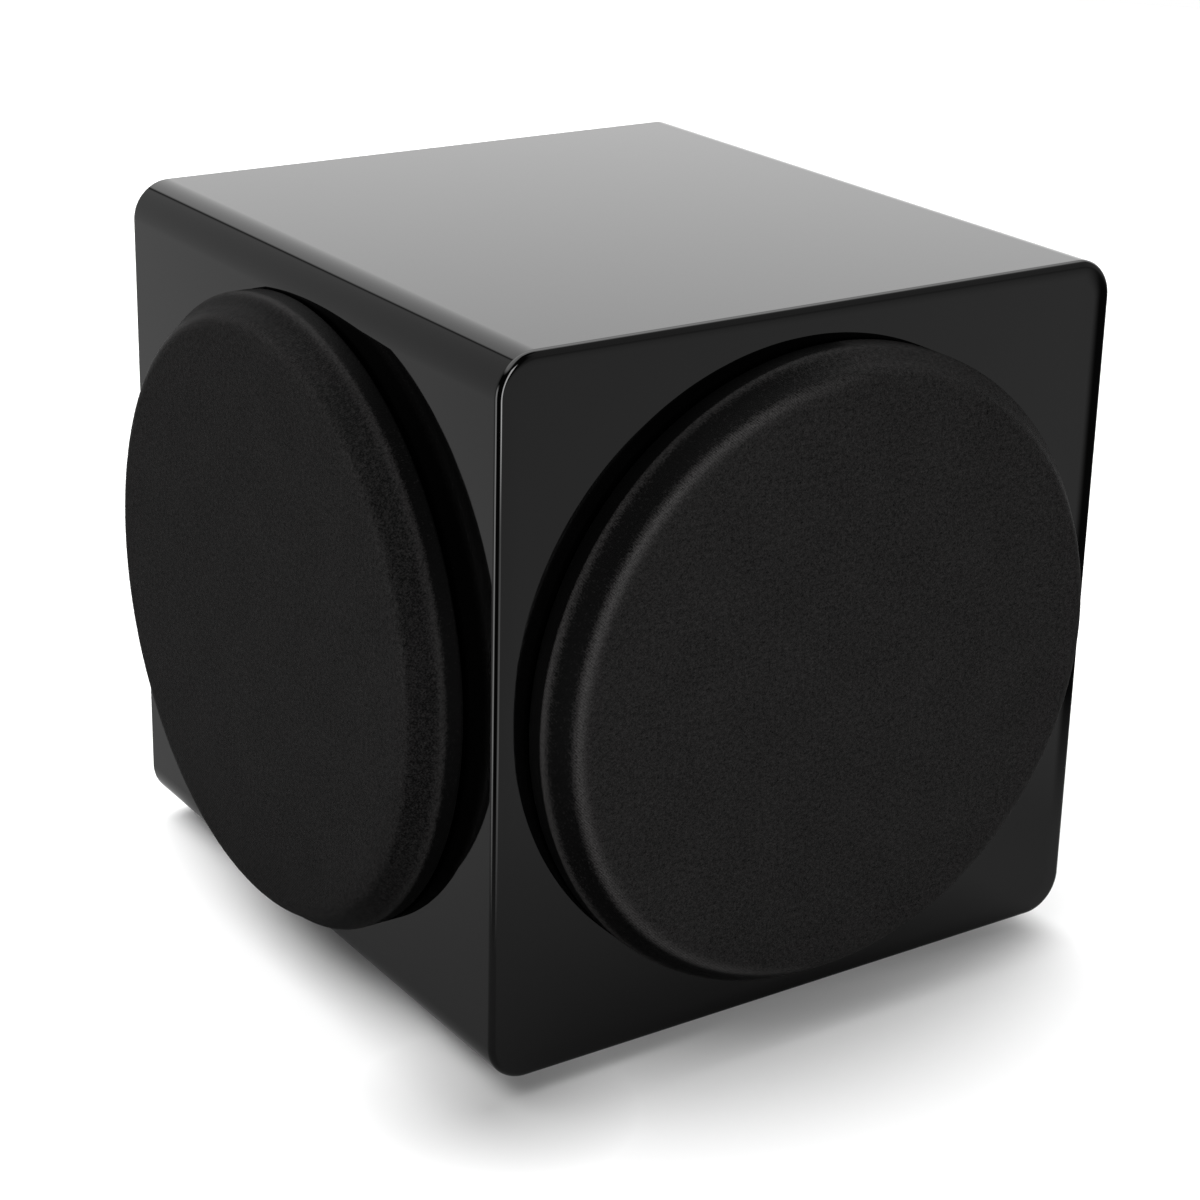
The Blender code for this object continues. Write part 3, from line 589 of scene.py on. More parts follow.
def cabinet_skin():
    width, depth, height = cabinet_size
    profile = rim_profile()
    rings = [(inset, -drop) for inset, drop in profile]
    rings += [(inset, drop - depth) for inset, drop in reversed(profile)]

    def build(bm):
        loops = []
        for inset, z in rings:
            outline = rounded_outline(width - 2 * inset, height - 2 * inset, CORNER_RADIUS - inset, 20)
            loops.append([bm.verts.new((x, y, z)) for x, y in outline])
        for first, second in pairs(loops):
            for k in range(len(first)):
                n = (k + 1) % len(first)
                bm.faces.new((first[k], first[n], second[n], second[k]))
        bm.faces.new(loops[0])
        bm.faces.new(loops[-1])

    return mesh_of("cabinet_shell", build, FRONT, lacquer)


def driver_opening(face, label):
    lip = 0.0006
    profile = [
        (0, 0.01), (RECESS_RADIUS + lip, 0.01), (RECESS_RADIUS + lip, 0.0),
        (RECESS_RADIUS + lip * 0.3, -lip * 0.3), (RECESS_RADIUS, -lip),
        (RECESS_RADIUS, -RECESS_DEPTH), (CUTOUT_RADIUS, -RECESS_DEPTH),
        (CUTOUT_RADIUS, -WALL - 0.01), (0, -WALL - 0.01),
    ]
    return lathe(label, profile, face, lacquer, 128)


def make_cabinet():
    width, depth, height = cabinet_size
    inside = (width / 2 - WALL, height / 2 - WALL)
    hollow = slab("hollow", (-inside[0], -inside[1], -depth - 0.01), (*inside, -WALL), FRONT, board)
    tools = [("DIFFERENCE", hollow)]
    cup = [(0, -0.011), (CUP_RADIUS + GAP, -0.011), (CUP_RADIUS + GAP, 0.01), (0, 0.01)]
    for label, face in (("front_opening", FRONT), ("side_opening", SIDE)):
        tools.append(("DIFFERENCE", driver_opening(face, label)))
        tools += [("DIFFERENCE", lathe("cup_hole", cup, place, lacquer, 24)) for place in pegs(face)]
    shell = solid(cabinet_skin(), tools)
    even_normals(show("cabinet_shell", shell, "cabinet", "cabinet_body", 45))


def make_feet():
    for name in ("foot_front_left", "foot_front_right", "foot_rear_left", "foot_rear_right"):
        low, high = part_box(name)
        place = Matrix.Translation(((low.x + high.x) / 2, (low.y + high.y) / 2, 0))
        radius, top = (high.x - low.x) / 2, high.z
        profile = rounded([
            (0, top), (radius - 0.0012, top, 0.0004), (radius, top - 0.0018, 0.001),
            (radius - 0.0012, 0, 0.0011), (radius - 0.0045, 0, 0.0004),
            (radius - 0.0052, 0.0009, 0.0003), (0.0048, 0.0009, 0.0003),
            (0.0044, 0.0042, 0.0003), (0, 0.0042),
        ])
        show(name + "_pad", lathe(name, profile, place, rubber, 64), "cabinet", name)


# ---------------------------------------------------------------- grilles


def rim_profile_over(inset, foot, turn_in):
    """Outer face of the grille's rim, from the crease over the shoulder to its foot, inset by some depth.

    Between crease and shoulder nothing carries the cloth, so it draws in a little there.
    """
    crease = Vector((PLATEAU_RADIUS - inset * 0.5, GRILLE_PROUD - inset))
    shoulder = Vector((GRILLE_RADIUS - inset, GRILLE_SHOULDER - inset * 0.5))
    corners = [
        (crease.x - 0.012, crease.y), (*crease, 0.0095), (*shoulder, 0.0058),
        (shoulder.x, foot, 0.0011), (shoulder.x - turn_in, foot),
    ]
    slope = crease - shoulder
    inwards = Vector((-slope.y, slope.x)).normalized()
    points = []
    for first, last in pairs(rounded(corners, 10)):
        count = max(1, math.ceil((Vector(last) - Vector(first)).length / 0.001))
        for k in range(count):
            point = Vector(first).lerp(Vector(last), k / count)
            along = (point - shoulder).dot(slope) / slope.length_squared
            if 0 < along < 1:
                point += inwards * CLOTH_SAG * math.sin(math.pi * along) ** 2
            points.append(tuple(point))
    return [*points, corners[-1]]


def cloth_profile():
    """The cloth's outer face from its middle to where it ends under the hoop."""
    rim = rim_profile_over(0, GRILLE_STANDOFF, CLOTH_TURN_IN)
    return [(rim[0][0] * k / 14, GRILLE_PROUD) for k in range(14)] + rim


def cloth_bends():
    """Where the cloth bends over the hoop: at the crease and at the shoulder."""
    return (PLATEAU_RADIUS, GRILLE_PROUD), (GRILLE_RADIUS, GRILLE_SHOULDER)


def length_at(profile, lengths, point):
    """How far along the profile its nearest vertex to a point is."""
    return min(zip(profile, lengths), key=lambda item: math.dist(item[0], point))[1]


def make_cloth_sheet(label, face, painted_light_side, painted_light_strength):
    profile = cloth_profile()
    lengths = [0.0]
    for (r0, z0), (r1, z1) in pairs(profile):
        lengths.append(lengths[-1] + math.hypot(r1 - r0, z1 - z0))
    segments = 288
    flat = []
    rim = []
    bends = [length_at(profile, lengths, point) for point in cloth_bends()]

    def painted_rim_light(length, turn):
        """Painted light on the cloth: a painted highlight where it bends over the hoop, painted shade where
        it spans between the bends, and painted shade down the wall.

        Each is strongest towards the lit side, at the given strength. Both were set to the photo's
        lighting, so the painted shine stays where it is under any other light.
        """
        crease, shoulder = bends
        over, round_it = (math.exp(-(((length - bend) / CLOTH_BEND_WIDTH) ** 2)) for bend in bends)
        # towards is the share of the painted light that falls on this side of the grille.
        towards = painted_light_strength * min(1, max(0, (math.cos(turn - painted_light_side) + 0.02) / 0.4))
        tight = (over + round_it * (0.12 + 0.7 * math.cos(turn) ** 4)) * towards
        free = min(1, max(0, (length - crease) / 0.003)) * min(1, max(0, (shoulder - length) / 0.003))
        wall = min(1, max(0, (length - shoulder - 0.0008) / 0.002))
        even_share = 1 - painted_light_strength
        free *= max(towards, even_share * CLOTH_FREE_SHADE)
        return (min(tight, 1), free, wall * max(towards, even_share * CLOTH_WALL_SHADE))

    def pucker(radius, turn, length):
        """Small radial folds where the cloth is pulled over the hoop."""
        if radius < PLATEAU_RADIUS * 0.9:
            return 0.0
        x, y = math.cos(turn), math.sin(turn)
        patch = 0.5 + 0.5 * noise.noise(Vector((x * 2.1, y * 2.1, 4.0 if label == "front" else 9.0)))
        folds = noise.noise(Vector((x * 17, y * 17, length * 25)))
        reach = min(1, max(0, (radius - PLATEAU_RADIUS * 0.93) / 0.008))
        return -0.00022 * reach * patch * (0.5 + 0.5 * folds)

    def build(bm):
        rings = []
        for k, (radius, height) in enumerate(profile):
            if radius < 1e-9:
                rings.append([bm.verts.new((0, 0, height))])
                flat.append((0, 0, 0))
                rim.append((0, 0, 0))
                continue
            ring = []
            for s in range(segments):
                turn = 2 * math.pi * s / segments
                shift = pucker(radius, turn, lengths[k])
                r = radius + shift * (1 if height < GRILLE_SHOULDER + 0.002 else 0.6)
                z = height + shift * (0 if height < GRILLE_SHOULDER else 0.6)
                ring.append(bm.verts.new((r * math.cos(turn), r * math.sin(turn), z)))
                flat.append((lengths[k] * math.cos(turn), lengths[k] * math.sin(turn), 0))
                rim.append(painted_rim_light(lengths[k], turn))
            rings.append(ring)
        for first, second in pairs(rings):
            for k in range(segments):
                n = (k + 1) % segments
                corners = [first[k % len(first)], second[k], second[n], first[n % len(first)]]
                bm.faces.new(list(dict.fromkeys(corners)))

    mesh = mesh_of(f"{label}_cloth", build, face, cloth, recalc=False)
    # The second attribute carries the painted highlight and painted shade masks to the cloth's material.
    for name, values in (("cloth_flat", flat), ("cloth_painted_light", rim)):
        stored = mesh.attributes.new(name, "FLOAT_VECTOR", "POINT")
        stored.data.foreach_set("vector", [value for point in values for value in point])
    node = f"{label}_grille_cloth"
    made = show(f"{label}_stretched_cloth", mesh, f"{label}_grille", node, 180)
    thick = made.modifiers.new("thickness", "SOLIDIFY")
    thick.thickness = CLOTH_THICKNESS
    thick.offset = -1


def make_hoop(label, face):
    inset = CLOTH_THICKNESS + 0.0002
    foot = GRILLE_STANDOFF + inset
    rib = 0.0026
    profile = [
        *rim_profile_over(inset, foot, rib),
        *rounded(
            [
                (GRILLE_RADIUS - inset - rib, foot + 0.0005),
                (GRILLE_RADIUS - inset - rib, GRILLE_SHOULDER - 0.002, 0.001),
                (HOOP_INNER + rib, GRILLE_SHOULDER + 0.002, 0.001),
                (HOOP_INNER + rib, foot, 0.0005),
                (HOOP_INNER, foot, 0.0005),
                (HOOP_INNER, GRILLE_PROUD - inset - 0.0009, 0.0004),
                (HOOP_INNER + 0.0009, GRILLE_PROUD - inset),
            ]
        ),
    ]
    profile = [point for point in profile if point[0] >= HOOP_INNER - 1e-9]
    hoop = ring_lathe(f"{label}_hoop", profile, face, hoop_plastic, 160)
    shaft = rounded([(0, 0.0145), (0.0042, 0.0145), (0.0042, foot, 0.0004), (PEG_RADIUS, foot)])
    shaft.append((PEG_RADIUS, -0.0068))
    shaft += rounded([(PEG_RADIUS, -0.0070), (0.0019, -0.008, 0.0003), (0, -0.008)])
    tools = [("UNION", lathe("peg", shaft, place, hoop_plastic, 32)) for place in pegs(face)]
    mesh = solid(hoop, tools)
    show(f"{label}_hoop", mesh, f"{label}_grille", f"{label}_grille_frame")


def make_cups(label, face):
    profile = rounded([
        (0, -0.0105), (CUP_RADIUS, -0.0105, 0.0004), (CUP_RADIUS, -GAP, 0.0003),
        (PEG_RADIUS + GAP, -GAP, 0.0005), (PEG_RADIUS + GAP, -0.0092, 0.0002), (0, -0.0092),
    ])
    for k, place in enumerate(pegs(face)):
        name = f"{label}_peg_cup_{k + 1}"
        cup = lathe(name, profile, place, rubber, 40)
        show(f"{label}_rubber_cup_{k + 1}", cup, "cabinet", name)


# ---------------------------------------------------------------- drivers


def socket_screw(name, place, head, finish):
    """A button-head screw with a hexagon socket."""
    height = head * 0.55
    crown = (head * 0.55, height, head * 0.4)
    profile = rounded([(0, height), crown, (head, 0.0003, head * 0.25), (head, -0.0004)])
    profile.append((0, -0.0004))
    body = lathe(name, profile, place, finish, 32)
    turns = [math.pi / 3 * k for k in range(6)]
    key = [(head * 0.46 * math.cos(t), head * 0.46 * math.sin(t)) for t in turns]
    return solid(body, [("DIFFERENCE", prism("key", key, height * 0.35, height * 2, place, finish))])


def make_flange_trim(label, face):
    """What both drivers share on their flange: a rubber trim ring and eight screws."""
    trim = rounded([
        (0.0845, 0.0002), (0.0845, 0.0012, 0.0004), (0.0925, 0.0012, 0.0006),
        (0.0932, -0.0005), (0.0845, -0.0005),
    ])
    mesh = ring_lathe(f"{label}_trim", trim, face, rubber, 128)
    show(f"{label}_trim_ring", mesh, "cabinet")
    for k in range(8):
        turn = math.radians(22.5 + 45 * k)
        place = at(face, SCREW_CIRCLE * math.cos(turn), SCREW_CIRCLE * math.sin(turn), -0.0005)
        name = f"{label}_flange_screw_{k + 1}"
        show(name, socket_screw(name, place, 0.0034, black_steel), "cabinet")


def roll_profile():
    """The half-roll of a surround as one closed outline, from its outer lip over to its inner lip."""
    lip, thickness, steps = -0.0003, 0.0009, 18
    outer, inner = 0.0838, 0.0642
    above, below = ROLL_RADIUS + thickness / 2, ROLL_RADIUS - thickness / 2
    level = lip + thickness / 2
    turns = [math.radians(8 + 164 * k / steps) for k in range(steps + 1)]
    points = [(0.092, lip), (0.092, lip + thickness), (ROLL_CENTRE + above + 0.0006, lip + thickness)]
    points += [(ROLL_CENTRE + above * math.cos(t), level + above * math.sin(t)) for t in turns]
    points += [(ROLL_CENTRE - above - 0.0006, lip + thickness), (inner, lip + thickness), (inner, lip)]
    points += [(ROLL_CENTRE - below - 0.0004, lip)]
    points += [(ROLL_CENTRE + below * math.cos(t), level + below * math.sin(t)) for t in reversed(turns)]
    points += [(ROLL_CENTRE + below + 0.0004, lip)]
    return points


def spider_profile():
    """The corrugated disc between the coil's former and the ledge in the basket, as one closed outline."""
    thickness, level, inner, outer = 0.0007, -0.0436, 0.0258, 0.0632
    start, end, waves, swing, steps = 0.0290, 0.0560, 5, 0.0013, 40
    below = [(inner, level)]
    for k in range(steps + 1):
        rise = swing * (1 - math.cos(2 * math.pi * waves * k / steps))
        below.append((start + (end - start) * k / steps, level + rise))
    below.append((outer, level))
    return below + [(r, z + thickness) for r, z in reversed(below)]


def make_suspension(node, face, profile, finish):
    """A ring from the frame to the moving part, in sectors."""
    sectors, steps = 12, 10
    for k in range(sectors):
        start = 2 * math.pi * k / sectors
        end = start + 2 * math.pi / sectors
        name = f"{node}_{k + 1}"
        mesh = lathe(name, closed(profile), face, finish, steps, span=(start, end))
        made = placed(name, smooth(mesh, 50))
        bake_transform(made)
        if k == 0:
            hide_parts(node)


def make_basket():
    profile = rounded([
        (0.0840, -0.0006), (FLANGE_RADIUS, -0.0006, 0.0006), (FLANGE_RADIUS, -0.0036, 0.0004),
        (0.0925, -0.0036, 0.0012), (0.0668, -0.0465, 0.002), (0.0600, -0.0465, 0.001),
        (0.0600, -0.0560), (0.0280, -0.0560), (0.0280, -0.0535), (0.0575, -0.0535, 0.001),
        (0.0575, -0.0440, 0.001), (0.0640, -0.0440, 0.001), (0.0886, -0.0030, 0.0008),
        (0.0840, -0.0030),
    ])
    tools = []
    for k in range(4):
        turn = FRONT @ Matrix.Rotation(math.radians(22.5 + 45 * k), 4, "Z")
        window = slab("window", (-0.11, -0.015, -0.038), (0.11, 0.015, -0.012), turn, cast, 0.003)
        tools.append(("DIFFERENCE", window))
    mesh = solid(ring_lathe("basket", profile, FRONT, cast, 128), tools)
    show("woofer_cast_basket", mesh, "cabinet", "woofer_basket")


def make_woofer():
    make_basket()
    make_flange_trim("woofer", FRONT)
    moving, roll = "woofer_moving", roll_profile()
    make_suspension("woofer_surround", FRONT, roll, roll_rubber)
    spider = spider_profile()
    make_suspension("woofer_spider", FRONT, spider, spider_cloth)
    steps = 20
    rim, neck, rise = 0.0640, 0.0262, 0.0333
    outside = []
    for k in range(steps + 1):
        t = k / steps
        bow = 0.0016 * math.sin(math.pi * t)
        outside.append((rim + (neck - rim) * t, -0.0006 - rise * t - bow))
    cone = [(CONE_RADIUS - 0.0006, -0.0016), (CONE_RADIUS - 0.0006, -0.0008), (rim + 0.0008, -0.0008)]
    cone += outside
    cone += [(r - 0.0002, z - 0.0011) for r, z in reversed(outside)]
    cone += [(rim + 0.0008, -0.0018)]
    mesh = ring_lathe("cone", cone, FRONT, pulp, 128)
    show("woofer_paper_cone", mesh, moving, "woofer_cone")
    dome, cap, apex = 0.050, 0.030, -0.019
    turns = [math.asin(cap / dome) * k / 14 for k in range(15)]
    top = [(dome * math.sin(t), apex - dome * (1 - math.cos(t))) for t in turns]
    rolled = [(cap + 0.0012, top[-1][1] - 0.0012), (cap + 0.0002, top[-1][1] - 0.0016)]
    under = [(r * 0.975, z - 0.0009) for r, z in reversed(top)]
    mesh = lathe("dust_cap", top + rolled + under, FRONT, pulp, 96)
    show("woofer_domed_cap", mesh, moving, "woofer_dust_cap")


def make_radiator():
    profile = rounded([
        (0.0840, -0.0006), (FLANGE_RADIUS, -0.0006, 0.0006), (FLANGE_RADIUS, -0.0036, 0.0004),
        (0.0925, -0.0036, 0.0008), (0.0925, -0.0200, 0.0008), (0.0895, -0.0200, 0.0008),
        (0.0895, -0.0030, 0.0008), (0.0840, -0.0030),
    ])
    mesh = ring_lathe("radiator_ring", profile, SIDE, cast, 128)
    show("radiator_cast_ring", mesh, "cabinet", "radiator_frame")
    make_flange_trim("radiator", SIDE)
    moving, roll = "radiator_moving", roll_profile()
    make_suspension("radiator_surround", SIDE, roll, roll_rubber)
    disc = rounded([
        (0, -0.0054), (0.0300, -0.0054, 0.001), (0.0308, -0.0059, 0.001),
        (0.0326, -0.0059, 0.001), (0.0334, -0.0054, 0.001), (0.0520, -0.0054, 0.004),
        (0.0590, -0.0008, 0.004), (CONE_RADIUS - 0.0006, -0.0008),
        (CONE_RADIUS - 0.0006, -0.0016), (0.0600, -0.0018, 0.004), (0.0530, -0.0074, 0.004),
        (0, -0.0074),
    ])
    mesh = lathe("radiator_disc", disc, SIDE, pulp, 128)
    show("radiator_pressed_disc", mesh, moving, "radiator_diaphragm")


# ---------------------------------------------------------------- amplifier panel


def place_of(node):
    """The rear-face frame moved to the middle of a node, on the face's surface."""
    low, high = local(REAR, node)
    return at(REAR, (low.x + high.x) / 2, (low.y + high.y) / 2)


def plate_mesh():
    low, high = local(REAR, "amplifier_plate")
    tools = []

    def hole(node, radius):
        profile = [(0, -0.01), (radius, -0.01), (radius, 0.01), (0, 0.01)]
        tools.append(("DIFFERENCE", lathe("hole", profile, place_of(node), plate_paint, 48)))

    def slot(node, left, right, margin):
        """A rectangle through the plate, each side given as how far it is outside the node's box."""
        a, b = local(REAR, node)
        start = (a.x - left, a.y - margin, -0.01)
        stop = (b.x + right, b.y + margin, 0.01)
        tools.append(("DIFFERENCE", slab("slot", start, stop, REAR, plate_paint)))

    for k in range(4):
        hole(f"plate_screw_{k + 1}", 0.0022)
    for node, radius in (("level_knob", 0.004), ("crossover_knob", 0.004), ("status_lens", 0.0024)):
        hole(node, radius)
    for node in ("line_jack_left", "line_jack_right"):
        hole(node, 0.0051)
    for node, travel in (("phase_slider", 0.0044), ("mode_slider", 0.0068)):
        slot(node, 0.0004, travel + 0.0004, 0.0004)
    slot("mains_inlet", -0.0093, -0.0093, -0.0021)
    slot("rocker_housing", -0.0014, -0.0014, -0.0014)
    return solid(slab("plate", low, high, REAR, plate_paint, 0.0005), tools)


def make_knob(name):
    place = place_of(name)
    low, high = local(REAR, name)
    top = high.z - 0.0006
    bottom = PLATE_TOP + GAP + 0.0005
    flutes, depth = 24, 0.00035

    def grip(radius, height, turn):
        if radius < 0.0096 or height > top - 0.0012 or height < bottom + 0.0022:
            return radius
        return radius - depth * (0.5 + 0.5 * math.cos(flutes * turn))

    profile = rounded([
        (0, top - 0.0003), (0.0078, top - 0.0003, 0.0004), (0.0084, top, 0.0004),
        (0.0098, top, 0.0009), (0.0104, bottom + 0.0026, 0.0006),
        (0.0106, bottom + 0.0016, 0.0006), (0.0106, bottom, 0.0004), (0.0032, bottom),
        (0.0032, low.z), (0, low.z),
    ])
    mesh = lathe(name, profile, place, plastic, 192, radius_at=grip)
    show(f"{name}_grip", mesh, name, name)
    start, stop = (-0.0005, 0.0030, top - 0.0004), (0.0005, 0.0097, top + 0.0003)
    show(f"{name}_pointer", slab("pointer", start, stop, place, ink, 0.0001), name)


def make_dial_marks():
    """Printed dots round both knobs, a longer one at each end of the turn."""
    dots = []
    for name in ("level_knob", "crossover_knob"):
        for k in range(11):
            turn = math.radians(240 - 30 * k)
            stop = 0.0148 if k in (0, 10) else 0.0139
            place = at(place_of(name), 0, 0, PLATE_TOP) @ Matrix.Rotation(turn, 4, "Z")
            dots.append(slab("dot", (0.0130, -0.0003, -0.0001), (stop, 0.0003, 0.0001), place, ink))
    bm = bmesh.new()
    for dot in dots:
        bm.from_mesh(dot)
    mesh = bpy.data.meshes.new("dial_marks")
    bm.to_mesh(mesh)
    bm.free()
    mesh.materials.append(ink)
    show("dial_marks", mesh, "cabinet")


def make_jack(name, insulator):
    top = 0.0140
    seat = PLATE_TOP + GAP
    shell = rounded([
        (0.0036, 0.0060), (0.0036, top, 0.0003), (0.0042, top, 0.0002),
        (0.0042, seat + 0.0018, 0.0002), (0.0060, seat + 0.0018, 0.0004),
        (0.0062, seat, 0.0002), (0.0047, seat), (0.0047, -0.0085, 0.0004), (0.0036, -0.0085),
    ])
    core = rounded([
        (0.0034, -0.0080), (0.0034, top - 0.0010, 0.0003), (0.0020, top - 0.0010, 0.0003),
        (0.0018, 0.0030), (0.0018, -0.0080),
    ])
    washer = rounded([
        (0.0063, seat - 0.0001), (0.0063, seat + 0.0008, 0.0003), (0.0076, seat + 0.0008),
        (0.0078, seat - 0.0001),
    ])
    for part, profile, finish, segments, replaced, slot in (
        ("shell", shell, gold, 64, name, "gold_contact"),
        ("insulator", core, insulator, 48, (), "moulded_plastic"),
        ("colour_ring", washer, insulator, 64, (), "moulded_plastic"),
    ):
        mesh = ring_lathe(name, profile, place_of(name), finish, segments)
        show(f"{name}_{part}", mesh, "cabinet", replaced)


def make_inlet():
    place = at(REAR, *inlet_centre())
    low, high = local(REAR, "mains_inlet")
    seat = PLATE_TOP + GAP
    body = slab("inlet", (-0.0138, -0.0115, low.z), (0.0138, 0.0195, 0.0056), place, plastic, 0.0006)
    flange_outline = rounded_outline(high.x - low.x, 0.036, 0.0035, 8)
    flange_place = place @ Matrix.Translation((0, 0.004, 0))
    flange = prism("flange", flange_outline, seat, high.z, flange_place, plastic, 0.0006)
    socket = [
        (-0.0122, -0.0084), (0.0122, -0.0084), (0.0122, 0.0040), (0.0080, 0.0084),
        (-0.0080, 0.0084), (-0.0122, 0.0040),
    ]
    tools = [
        ("UNION", flange),
        ("DIFFERENCE", prism("socket", socket, -0.0105, 0.01, place, plastic)),
        ("DIFFERENCE", slab("pocket", (-0.0114, 0.0108, -0.0165), (0.0114, 0.0180, 0.01), place, plastic)),
    ]
    mesh = solid(body, tools)
    show("mains_inlet_housing", mesh, "cabinet", "mains_inlet")
    for k, (across, up) in enumerate(((-0.0070, -0.0020), (0, 0.0020), (0.0070, -0.0020))):
        start, stop = (across - 0.0010, up - 0.0020, -0.0125), (across + 0.0010, up + 0.0020, 0.0010)
        pin = slab("pin", start, stop, place, brass, 0.0004)
        show(f"mains_inlet_pin_{k + 1}", pin, "cabinet")
    for k, across in enumerate((-0.0195, 0.0195)):
        screw = socket_screw("inlet_screw", at(place, across, 0.004, high.z - 0.0002), 0.0026, black_steel)
        show(f"mains_inlet_screw_{k + 1}", screw, "cabinet")


def inlet_centre():
    low, high = local(REAR, "mains_inlet")
    return (low.x + high.x) / 2, low.y + 0.0140


def refine(node, finish, bevel=0.0004, segments=2):
    """Keeps a CAD node and softens its edges: coplanar faces are merged, then edges bevelled."""
    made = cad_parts[node]
    paint(node, finish)
    weld = made.modifiers.new("weld", "WELD")
    weld.merge_threshold = 0.00001
    flat = made.modifiers.new("flat faces", "DECIMATE")
    flat.decimate_type = "DISSOLVE"
    flat.angle_limit = math.radians(1)
    edges = made.modifiers.new("edges", "BEVEL")
    edges.width = bevel
    edges.segments = segments
    edges.limit_method = "ANGLE"
    edges.angle_limit = math.radians(40)
    even_normals(made)
    return made


def paint(node, finish):
    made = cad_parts[node]
    made.data.materials.clear()
    made.data.materials.append(finish)


def make_panel():
    mesh = plate_mesh()
    even_normals(show("amplifier_cover_plate", mesh, "cabinet", "amplifier_plate"))
    for k in range(4):
        node = f"plate_screw_{k + 1}"
        place = at(place_of(node), 0, 0, PLATE_TOP + GAP)
        screw = socket_screw(node, place, 0.0036, black_steel)
        show(f"amplifier_screw_{k + 1}", screw, "cabinet", node)
    for name in ("level_knob", "crossover_knob"):
        make_knob(name)
    make_dial_marks()
    make_jack("line_jack_left", white_ring)
    make_jack("line_jack_right", red_ring)
    make_inlet()
    for name in ("rocker_housing", "fuse_drawer", "phase_slider", "mode_slider"):
        refine(name, plastic)
    refine("heatsink", anodised)
    refine("power_rocker", plastic, 0.0006, 3)
    refine("rear_panel", black_board, 0.0006)
    refine("amplifier_seal", foam, 0.0002)


# ---------------------------------------------------------------- inside


def finish_inside():
    """Nodes inside the cabinet keep their CAD shape and get their real materials."""
    finishes = {
        "cabinet_brace": board,
        "damping_pad": wadding,
        "woofer_seal": foam,
        "radiator_seal": foam,
        "woofer_top_plate": steel,
        "woofer_magnet": ferrite,
        "woofer_yoke": steel,
        "woofer_terminal": plastic,
        "coil_former": former,
        "coil_winding": copper,
        "radiator_weight": steel,
        "circuit_board": circuit,
        "capacitor_1": can,
        "capacitor_2": can,
        "mains_transformer": wrap,
        "speaker_lead": jacket,
        "status_lens": lens,
    }
    for node, finish in finishes.items():
        paint(node, finish)


# ---------------------------------------------------------------- studio


def make_table():
    """A pale table top: white to the camera, darker to the cabinet, as in a cut-out product picture."""

    def build(bm):
        bmesh.ops.create_circle(bm, cap_ends=True, radius=TABLE_RADIUS, segments=96)

    made = placed("table_top", mesh_of("table_top", build, Matrix.Identity(4)))
    surface = Finish("table_top", (TABLE_LEFT,) * 3, 0.9, Specular_IOR_Level=0.0)
    seen = surface.node("ShaderNodeLightPath").outputs["Is Camera Ray"]
    corner = surface.node("ShaderNodeVectorMath", operation="DISTANCE")
    surface.link(surface.where, corner.inputs[0])
    corner.inputs[1].default_value = (cabinet_low.x, cabinet_low.y, 0)

    def share(brightness):
        return (brightness - TABLE_LEFT) / (TABLE_SEEN - TABLE_LEFT)

    # A painted shadow round the cabinet's near corner, seen by the camera only.
    least = share(TABLE_SEEN * TABLE_SHADE)
    shade = surface.spread(corner.outputs["Value"], least, 1, 0, TABLE_SHADE_WIDTH)
    # To all but the camera the table is painted darker off the cabinet's left and right sides, which puts
    # painted shade into the lacquer's reflections.
    parts = surface.node("ShaderNodeSeparateXYZ")
    surface.link(surface.where, parts.inputs[0])
    x = parts.outputs["X"]
    left = surface.spread(x, 0, share(TABLE_LIT), cabinet_low.x, cabinet_low.x + WALL)
    right = surface.spread(x, share(TABLE_LIT), share(TABLE_RIGHT), cabinet_high.x, cabinet_high.x + 0.07)
    bounced = surface.math("MINIMUM", left, right)
    bright = surface.math("MAXIMUM", surface.math("MULTIPLY", seen, shade), bounced)
    surface.vary_color(bright, (TABLE_SEEN,) * 3, 0, 1)
    reach = surface.node("ShaderNodeVectorMath", operation="LENGTH")
    surface.link(surface.where, reach.inputs[0])
    solid_here = surface.math("MAXIMUM", seen, surface.spread(reach.outputs["Value"], 1, 0, *TABLE_FADE))
    surface.link(solid_here, surface.shader.inputs["Alpha"])
    made.data.materials.append(surface.material)


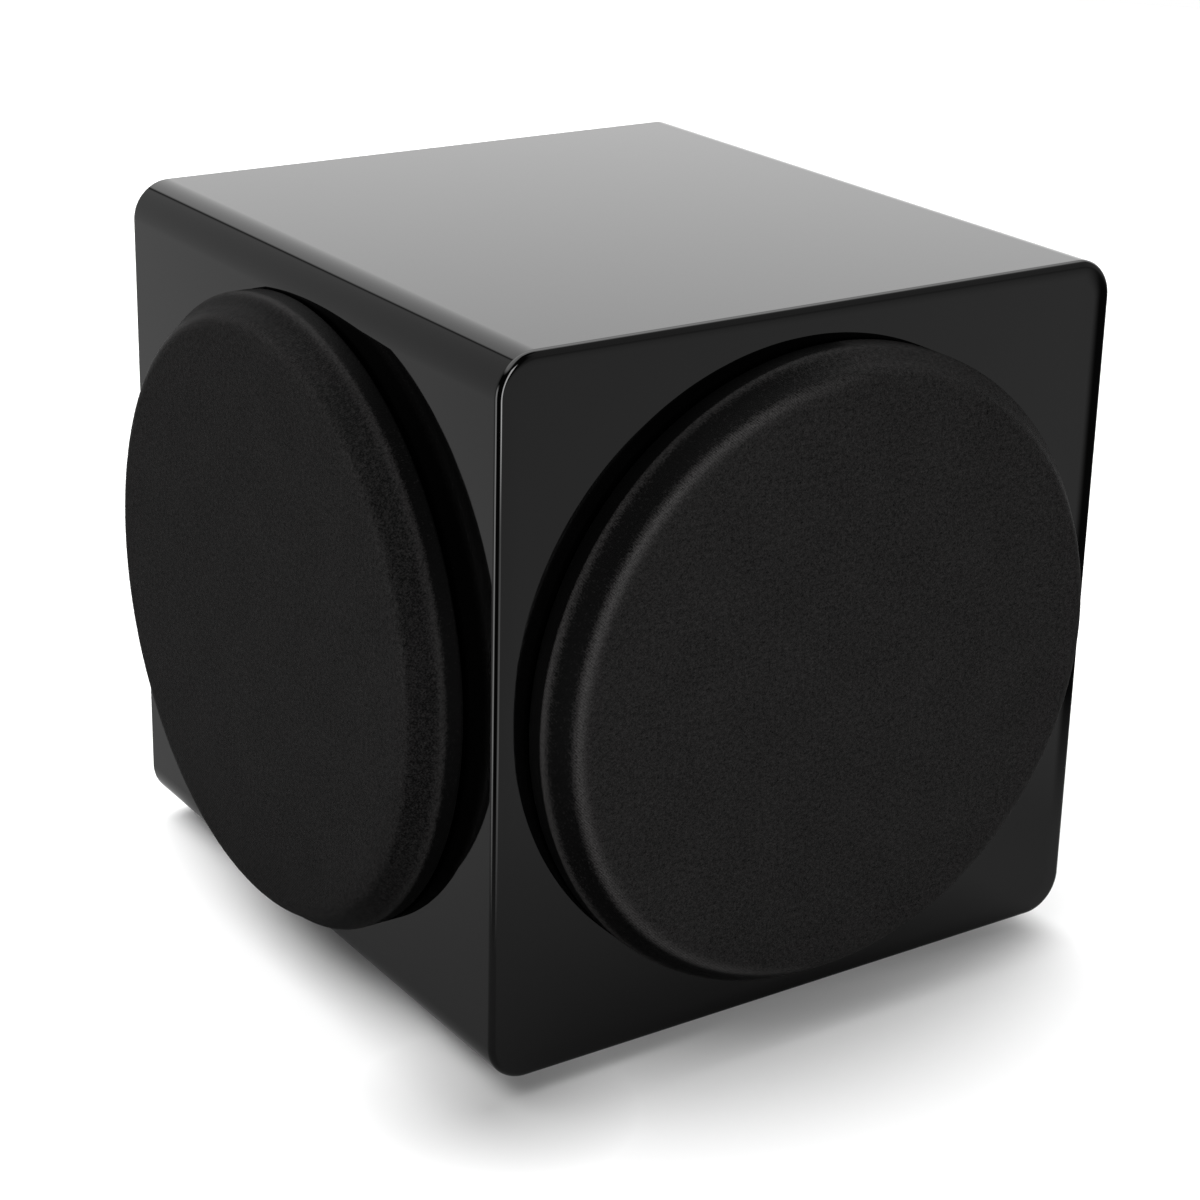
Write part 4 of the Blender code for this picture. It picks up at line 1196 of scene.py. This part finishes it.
def make_world():
    """The studio round the table as soft-edged panels, white to the camera itself."""
    world = bpy.data.worlds.new("studio")
    bpy.context.scene.world = world
    world.use_nodes = True
    tree = world.node_tree
    tree.nodes.clear()

    def node(kind, *inputs, **settings):
        made = tree.nodes.new(kind)
        for key, value in settings.items():
            setattr(made, key, value)
        for socket, value in zip(made.inputs, inputs):
            if isinstance(value, (int, float)):
                socket.default_value = value
            else:
                tree.links.new(value, socket)
        return made.outputs[0]

    def calc(operation, *inputs):
        return node("ShaderNodeMath", *inputs, operation=operation)

    def window(distance, half, soft):
        edges = (half - soft, half + soft, 1.0, 0.0)
        return node("ShaderNodeMapRange", distance, *edges, interpolation_type="SMOOTHSTEP")

    coordinates = tree.nodes.new("ShaderNodeTexCoord").outputs["Generated"]
    parts = tree.nodes.new("ShaderNodeSeparateXYZ")
    tree.links.new(coordinates, parts.inputs[0])
    azimuth = calc("ARCTAN2", parts.outputs["X"], parts.outputs["Y"])
    elevation = calc("ARCSINE", parts.outputs["Z"])
    total = None
    for panel in PANELS:
        across, half_across, soft_across, up, half_up, soft_up = (math.radians(v) for v in panel[:6])
        turned = calc("WRAP", calc("SUBTRACT", azimuth, across), math.pi, -math.pi)
        wide = window(calc("ABSOLUTE", turned), half_across, soft_across)
        tall = window(calc("ABSOLUTE", calc("SUBTRACT", elevation, up)), half_up, soft_up)
        glow = calc("MULTIPLY", calc("MULTIPLY", wide, tall), panel[6])
        total = calc("ADD", total, glow) if total else glow
    surroundings = tree.nodes.new("ShaderNodeBackground")
    seen = tree.nodes.new("ShaderNodeBackground")
    tree.links.new(total, surroundings.inputs["Strength"])
    for background in (surroundings, seen):
        background.inputs["Color"].default_value = (1, 1, 1, 1)
    mix = tree.nodes.new("ShaderNodeMixShader")
    path = tree.nodes.new("ShaderNodeLightPath")
    tree.links.new(path.outputs["Is Camera Ray"], mix.inputs["Fac"])
    tree.links.new(surroundings.outputs["Background"], mix.inputs[1])
    tree.links.new(seen.outputs["Background"], mix.inputs[2])
    tree.links.new(mix.outputs["Shader"], tree.nodes.new("ShaderNodeOutputWorld").inputs["Surface"])


def make_camera():
    """The camera stands off the near vertical edge, a little above the cabinet, tilted a touch."""
    target = Vector((cabinet_low.x + CAMERA_ACROSS, cabinet_low.y, cabinet_low.z + CAMERA_UP))
    azimuth, elevation, roll = (math.radians(angle) for angle in CAMERA_ANGLES)
    level = math.cos(elevation)
    back = Vector((-math.sin(azimuth) * level, -math.cos(azimuth) * level, math.sin(elevation)))
    data = bpy.data.cameras.new("camera")
    data.sensor_width = 36
    data.lens = CAMERA_LENS
    data.shift_y = CAMERA_SHIFT
    data.clip_start = 0.05
    made = placed("camera", data)
    made.rotation_mode = "QUATERNION"
    made.location = target + back * CAMERA_DISTANCE
    facing = (-back).to_track_quat("-Z", "Y")
    made.rotation_quaternion = facing @ Matrix.Rotation(roll, 4, "Z").to_quaternion()
    bpy.context.scene.camera = made


def make_studio():
    make_table()
    make_world()
    make_camera()
    bpy.context.scene.view_settings.view_transform = "Standard"


make_studio()
make_cabinet()
make_feet()
# The last two numbers of each grille: the side its cloth's painted highlights and painted shade are
# strongest on, in degrees round the grille, and how one-sided they are.
for label, face, painted_light_side, painted_light_strength in (("front", FRONT, 178, 1), ("side", SIDE, 60, 0.25)):
    make_hoop(label, face)
    make_cloth_sheet(label, face, math.radians(painted_light_side), painted_light_strength)
    make_cups(label, face)
make_woofer()
make_radiator()
make_panel()
finish_inside()
